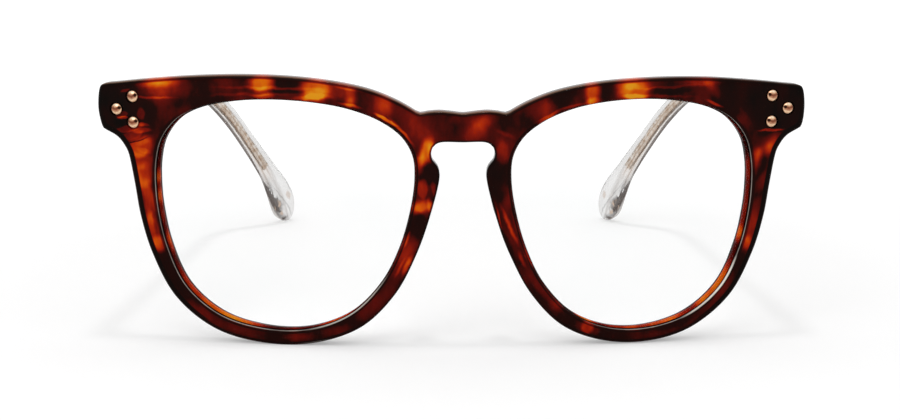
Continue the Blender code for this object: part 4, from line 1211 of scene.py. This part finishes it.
# Painted shade and refractions that lie side by side across a temple's breadth, and across its paddle:
# dark painted edges, the core wire's brown edges as seen through the acetate, and light bands. Then the
# painted dark, bright and beige reflections in the paddle: share of the breadth, share of the length, half
# sizes, turn in degrees, soft border and strength.
temple_painted_refractions = (
    (0.0, colour(110, 100, 95)), (0.07, colour(80, 70, 66)), (0.18, colour(62, 54, 50)),
    (0.23, colour(118, 110, 105)), (0.28, colour(234, 229, 226)), (0.38, colour(222, 213, 205)),
    (0.44, colour(172, 144, 126)), (0.48, colour(228, 219, 210)), (0.56, colour(234, 227, 220)),
    (0.62, colour(174, 147, 128)), (0.67, colour(228, 221, 216)), (0.74, colour(180, 174, 170)),
    (0.79, colour(236, 235, 234)), (0.91, colour(240, 240, 240)), (0.955, colour(168, 164, 162)),
    (1.0, colour(104, 100, 97)),
)
paddle_painted_refractions = (
    (0.0, colour(120, 112, 107)), (0.06, colour(190, 184, 180)), (0.3, colour(222, 219, 216)),
    (0.4, colour(178, 171, 167)), (0.46, colour(247, 246, 245)), (0.62, colour(247, 246, 245)),
    (0.69, colour(208, 204, 201)), (0.75, colour(252, 252, 252)), (0.93, colour(250, 250, 250)),
    (0.97, colour(150, 145, 142)), (1.0, colour(96, 91, 87)),
)
paddle_dark_reflections = (
    (0.36, 0.922, 0.28, 0.026, 6, 0.4, 0.97), (0.38, 0.956, 0.25, 0.018, 8, 0.8, 0.8),
    (0.46, 0.9, 0.06, 0.014, 0, 0.8, 0.6), (0.5, 0.986, 0.2, 0.005, 0, 0.9, 0.5),
    (0.68, 0.935, 0.2, 0.0022, 17, 0.9, 0.5), (0.76, 0.965, 0.14, 0.0022, 17, 0.9, 0.5),
)
paddle_bright_reflections = ((0.52, 0.918, 0.045, 0.006, 0, 0.4, 1.0), (0.42, 0.908, 0.03, 0.004, 0, 0.6, 0.8))
paddle_beige_reflections = (
    (0.57, 0.945, 0.04, 0.007, 0, 0.6, 0.8), (0.86, 0.945, 0.05, 0.009, 0, 0.5, 0.6),
    (0.55, 0.967, 0.035, 0.006, 0, 0.6, 0.8), (0.38, 0.947, 0.03, 0.005, 0, 0.6, 0.8),
)
# Noise sways the painted refractions along the temple, and the painted paddle reflections about.
flow_stretch = 4.0
flow_sway = 0.12
reflection_sway = 0.14
reflection_sway_along = 0.14
crystal, tree, shader = new_finish("crystal_acetate")
breadth = kept_value(tree, "breadth")
along = kept_value(tree, "along")
flow = put(tree, "CombineXYZ", {0: breadth, 2: times(tree, along, flow_stretch)}).outputs[0]
flow = maths(tree, "MULTIPLY_ADD", noise(tree, flow, 7.0), flow_sway, -flow_sway / 2)
swayed = maths(tree, "ADD", breadth, flow)
in_paddle = rising(tree, along, 0.86, 0.9)
tone = ramp_of(tree, swayed, temple_painted_refractions)
tone = tinted(tree, in_paddle, tone, ramp_of(tree, swayed, paddle_painted_refractions))
sway = noise(tree, object_place(tree), 900.0)
sway = maths(tree, "MULTIPLY_ADD", sway, reflection_sway, -reflection_sway / 2)
spread = put(tree, "CombineXYZ", {
    0: maths(tree, "ADD", breadth, sway),
    2: maths(tree, "MULTIPLY_ADD", sway, reflection_sway_along, along),
}).outputs[0]
tone = tinted(tree, ovals(tree, spread, paddle_dark_reflections, 0.0), tone, colour(52, 44, 41))
tone = tinted(tree, ovals(tree, spread, paddle_beige_reflections, 0.0), tone, colour(196, 160, 132))
tone = tinted(tree, ovals(tree, spread, paddle_bright_reflections, 0.0), tone, colour(255, 255, 255))
# On faces that turn away from the camera the painted refractions and reflections give way to a plain light
# tone.
tone = tinted(tree, kept_value(tree, "turned_away"), tone, colour(232, 230, 229))
tree.links.new(tone, shader.inputs["Base Color"])
shader.inputs["Transmission Weight"].default_value = 0.85
shader.inputs["Roughness"].default_value = 0.04
shader.inputs["IOR"].default_value = 1.06
finish_in(temple, crystal)
for side, piece in (("right", temple), ("left", mirrored(temple, "crystal_temple_left"))):
    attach(piece, "temple_" + side + "_group")
    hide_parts("temple_" + side)

# The core wires
# Flat strips of nickel silver, shot into the warm acetate before it is bent.  They stiffen the
# temples and let an optician bend them to fit.

wire_width = 2.2 * mm
wire_thickness = 1.0 * mm
wire_end_margin = 19.5 * mm
wire_start = pocket_end
wire_end = temple_length - wire_end_margin
wire_round = 0.3 * mm
wire_round_steps = 2
rings = []
count = round((wire_end - wire_start) / temple_step)
for k in range(count + 1):
    distance = wire_start + (wire_end - wire_start) * k / count
    centre, across, up = temple_frame(distance)
    section = rounded_section(wire_thickness, wire_width, wire_round, wire_round_steps)
    rings.append([centre + across * a + up * b for a, b in section])
wire = skin("metal_core_right", rings)
close_ends(wire)
core_metal, tree, shader = new_finish("core_wire")
drawn = noise(tree, drawn_out(tree, object_place(tree), (1.0, 0.04, 0.5)), 1500.0, 3.0)
tone = ramp_of(tree, drawn, (
    (0.36, colour(206, 186, 166)), (0.5, colour(236, 226, 214)), (0.64, colour(254, 251, 247)),
))
tree.links.new(tone, shader.inputs["Base Color"])
shader.inputs["Metallic"].default_value = 1.0
shader.inputs["Roughness"].default_value = 0.3
finish_in(wire, core_metal)
for side, piece in (("right", wire), ("left", mirrored(wire, "metal_core_left"))):
    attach(piece, "temple_" + side + "_group")
    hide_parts("core_wire_" + side)

# The table
# A white matt table top with no edge in view.  It grows lighter away from the frame, and the frame
# stands on it on its rims' lower edges and its temple tips.


def in_view(tree):
    """1 where a surface is seen by the camera, straight or by way of metal or glass."""
    path = put(tree, "LightPath")
    seen = maths(tree, "MAXIMUM", path.outputs["Is Camera Ray"], path.outputs["Is Glossy Ray"])
    return maths(tree, "MAXIMUM", seen, path.outputs["Is Transmission Ray"])


bpy.ops.object.select_all(action="DESELECT")
bpy.ops.mesh.primitive_plane_add(size=8)
table = bpy.context.object
table.name = "table_top"
white_table, tree, shader = new_finish("white_table")
mottle = ramp_of(tree, noise(tree, object_place(tree), 40.0), ((0.3, 0.7), (0.7, 0.704)))
tree.links.new(mottle, shader.inputs["Base Color"])
shader.inputs["Roughness"].default_value = 1.0
shader.inputs["Specular IOR Level"].default_value = 0.0
shader.inputs["Emission Color"].default_value = (1, 1, 1, 1)
away = put(tree, "VectorMath", {0: object_place(tree)}, operation="LENGTH").outputs["Value"]
lift = rising(tree, away, 0.1, 0.5, 0.31, 0.6)
tree.links.new(times(tree, in_view(tree), lift), shader.inputs["Emission Strength"])
finish_in(table, white_table)

# The light
# A white tent all round, one wide soft lamp high at the front, and a smaller one straight overhead
# that lays a thin shadow under the whole front.

def round_lamp(place, size, energy):
    """A round lamp that shines straight down."""
    bpy.ops.object.light_add(type="AREA", location=place)
    lamp = bpy.context.object
    lamp.data.shape = "DISK"
    lamp.data.size = size
    lamp.data.energy = energy
    return lamp


world = bpy.data.worlds.new("studio")
bpy.context.scene.world = world
world.use_nodes = True
tree = world.node_tree
background = tree.nodes["Background"]
background.inputs["Color"].default_value = (1, 1, 1, 1)
strength = rising(tree, in_view(tree), 0.0, 1.0, 0.76, 1.0)
tree.links.new(strength, background.inputs["Strength"])
front_lamp = round_lamp((-0.3, -0.8, 1.0), size=0.8, energy=2.5)
front_lamp.rotation_euler = (-front_lamp.location).to_track_quat("-Z", "Y").to_euler()
round_lamp((0.0, -0.06, 0.9), size=0.12, energy=1.1)

# The camera
# A long-focus lens a little above the frame, left of its middle and looking slightly down at it.

camera_place = Vector((-0.004504, -0.369516, 0.082731))
camera_target = Vector((-0.000732, face_y, 0.028041))
camera_data = bpy.data.cameras.new("camera")
camera_data.lens = 61.73
camera_data.sensor_width = 36
camera = bpy.data.objects.new("camera", camera_data)
bpy.context.collection.objects.link(camera)
camera.location = camera_place
camera.rotation_euler = (camera_target - camera_place).to_track_quat("-Z", "Y").to_euler()
bpy.context.scene.camera = camera
bpy.context.scene.view_settings.view_transform = "Standard"
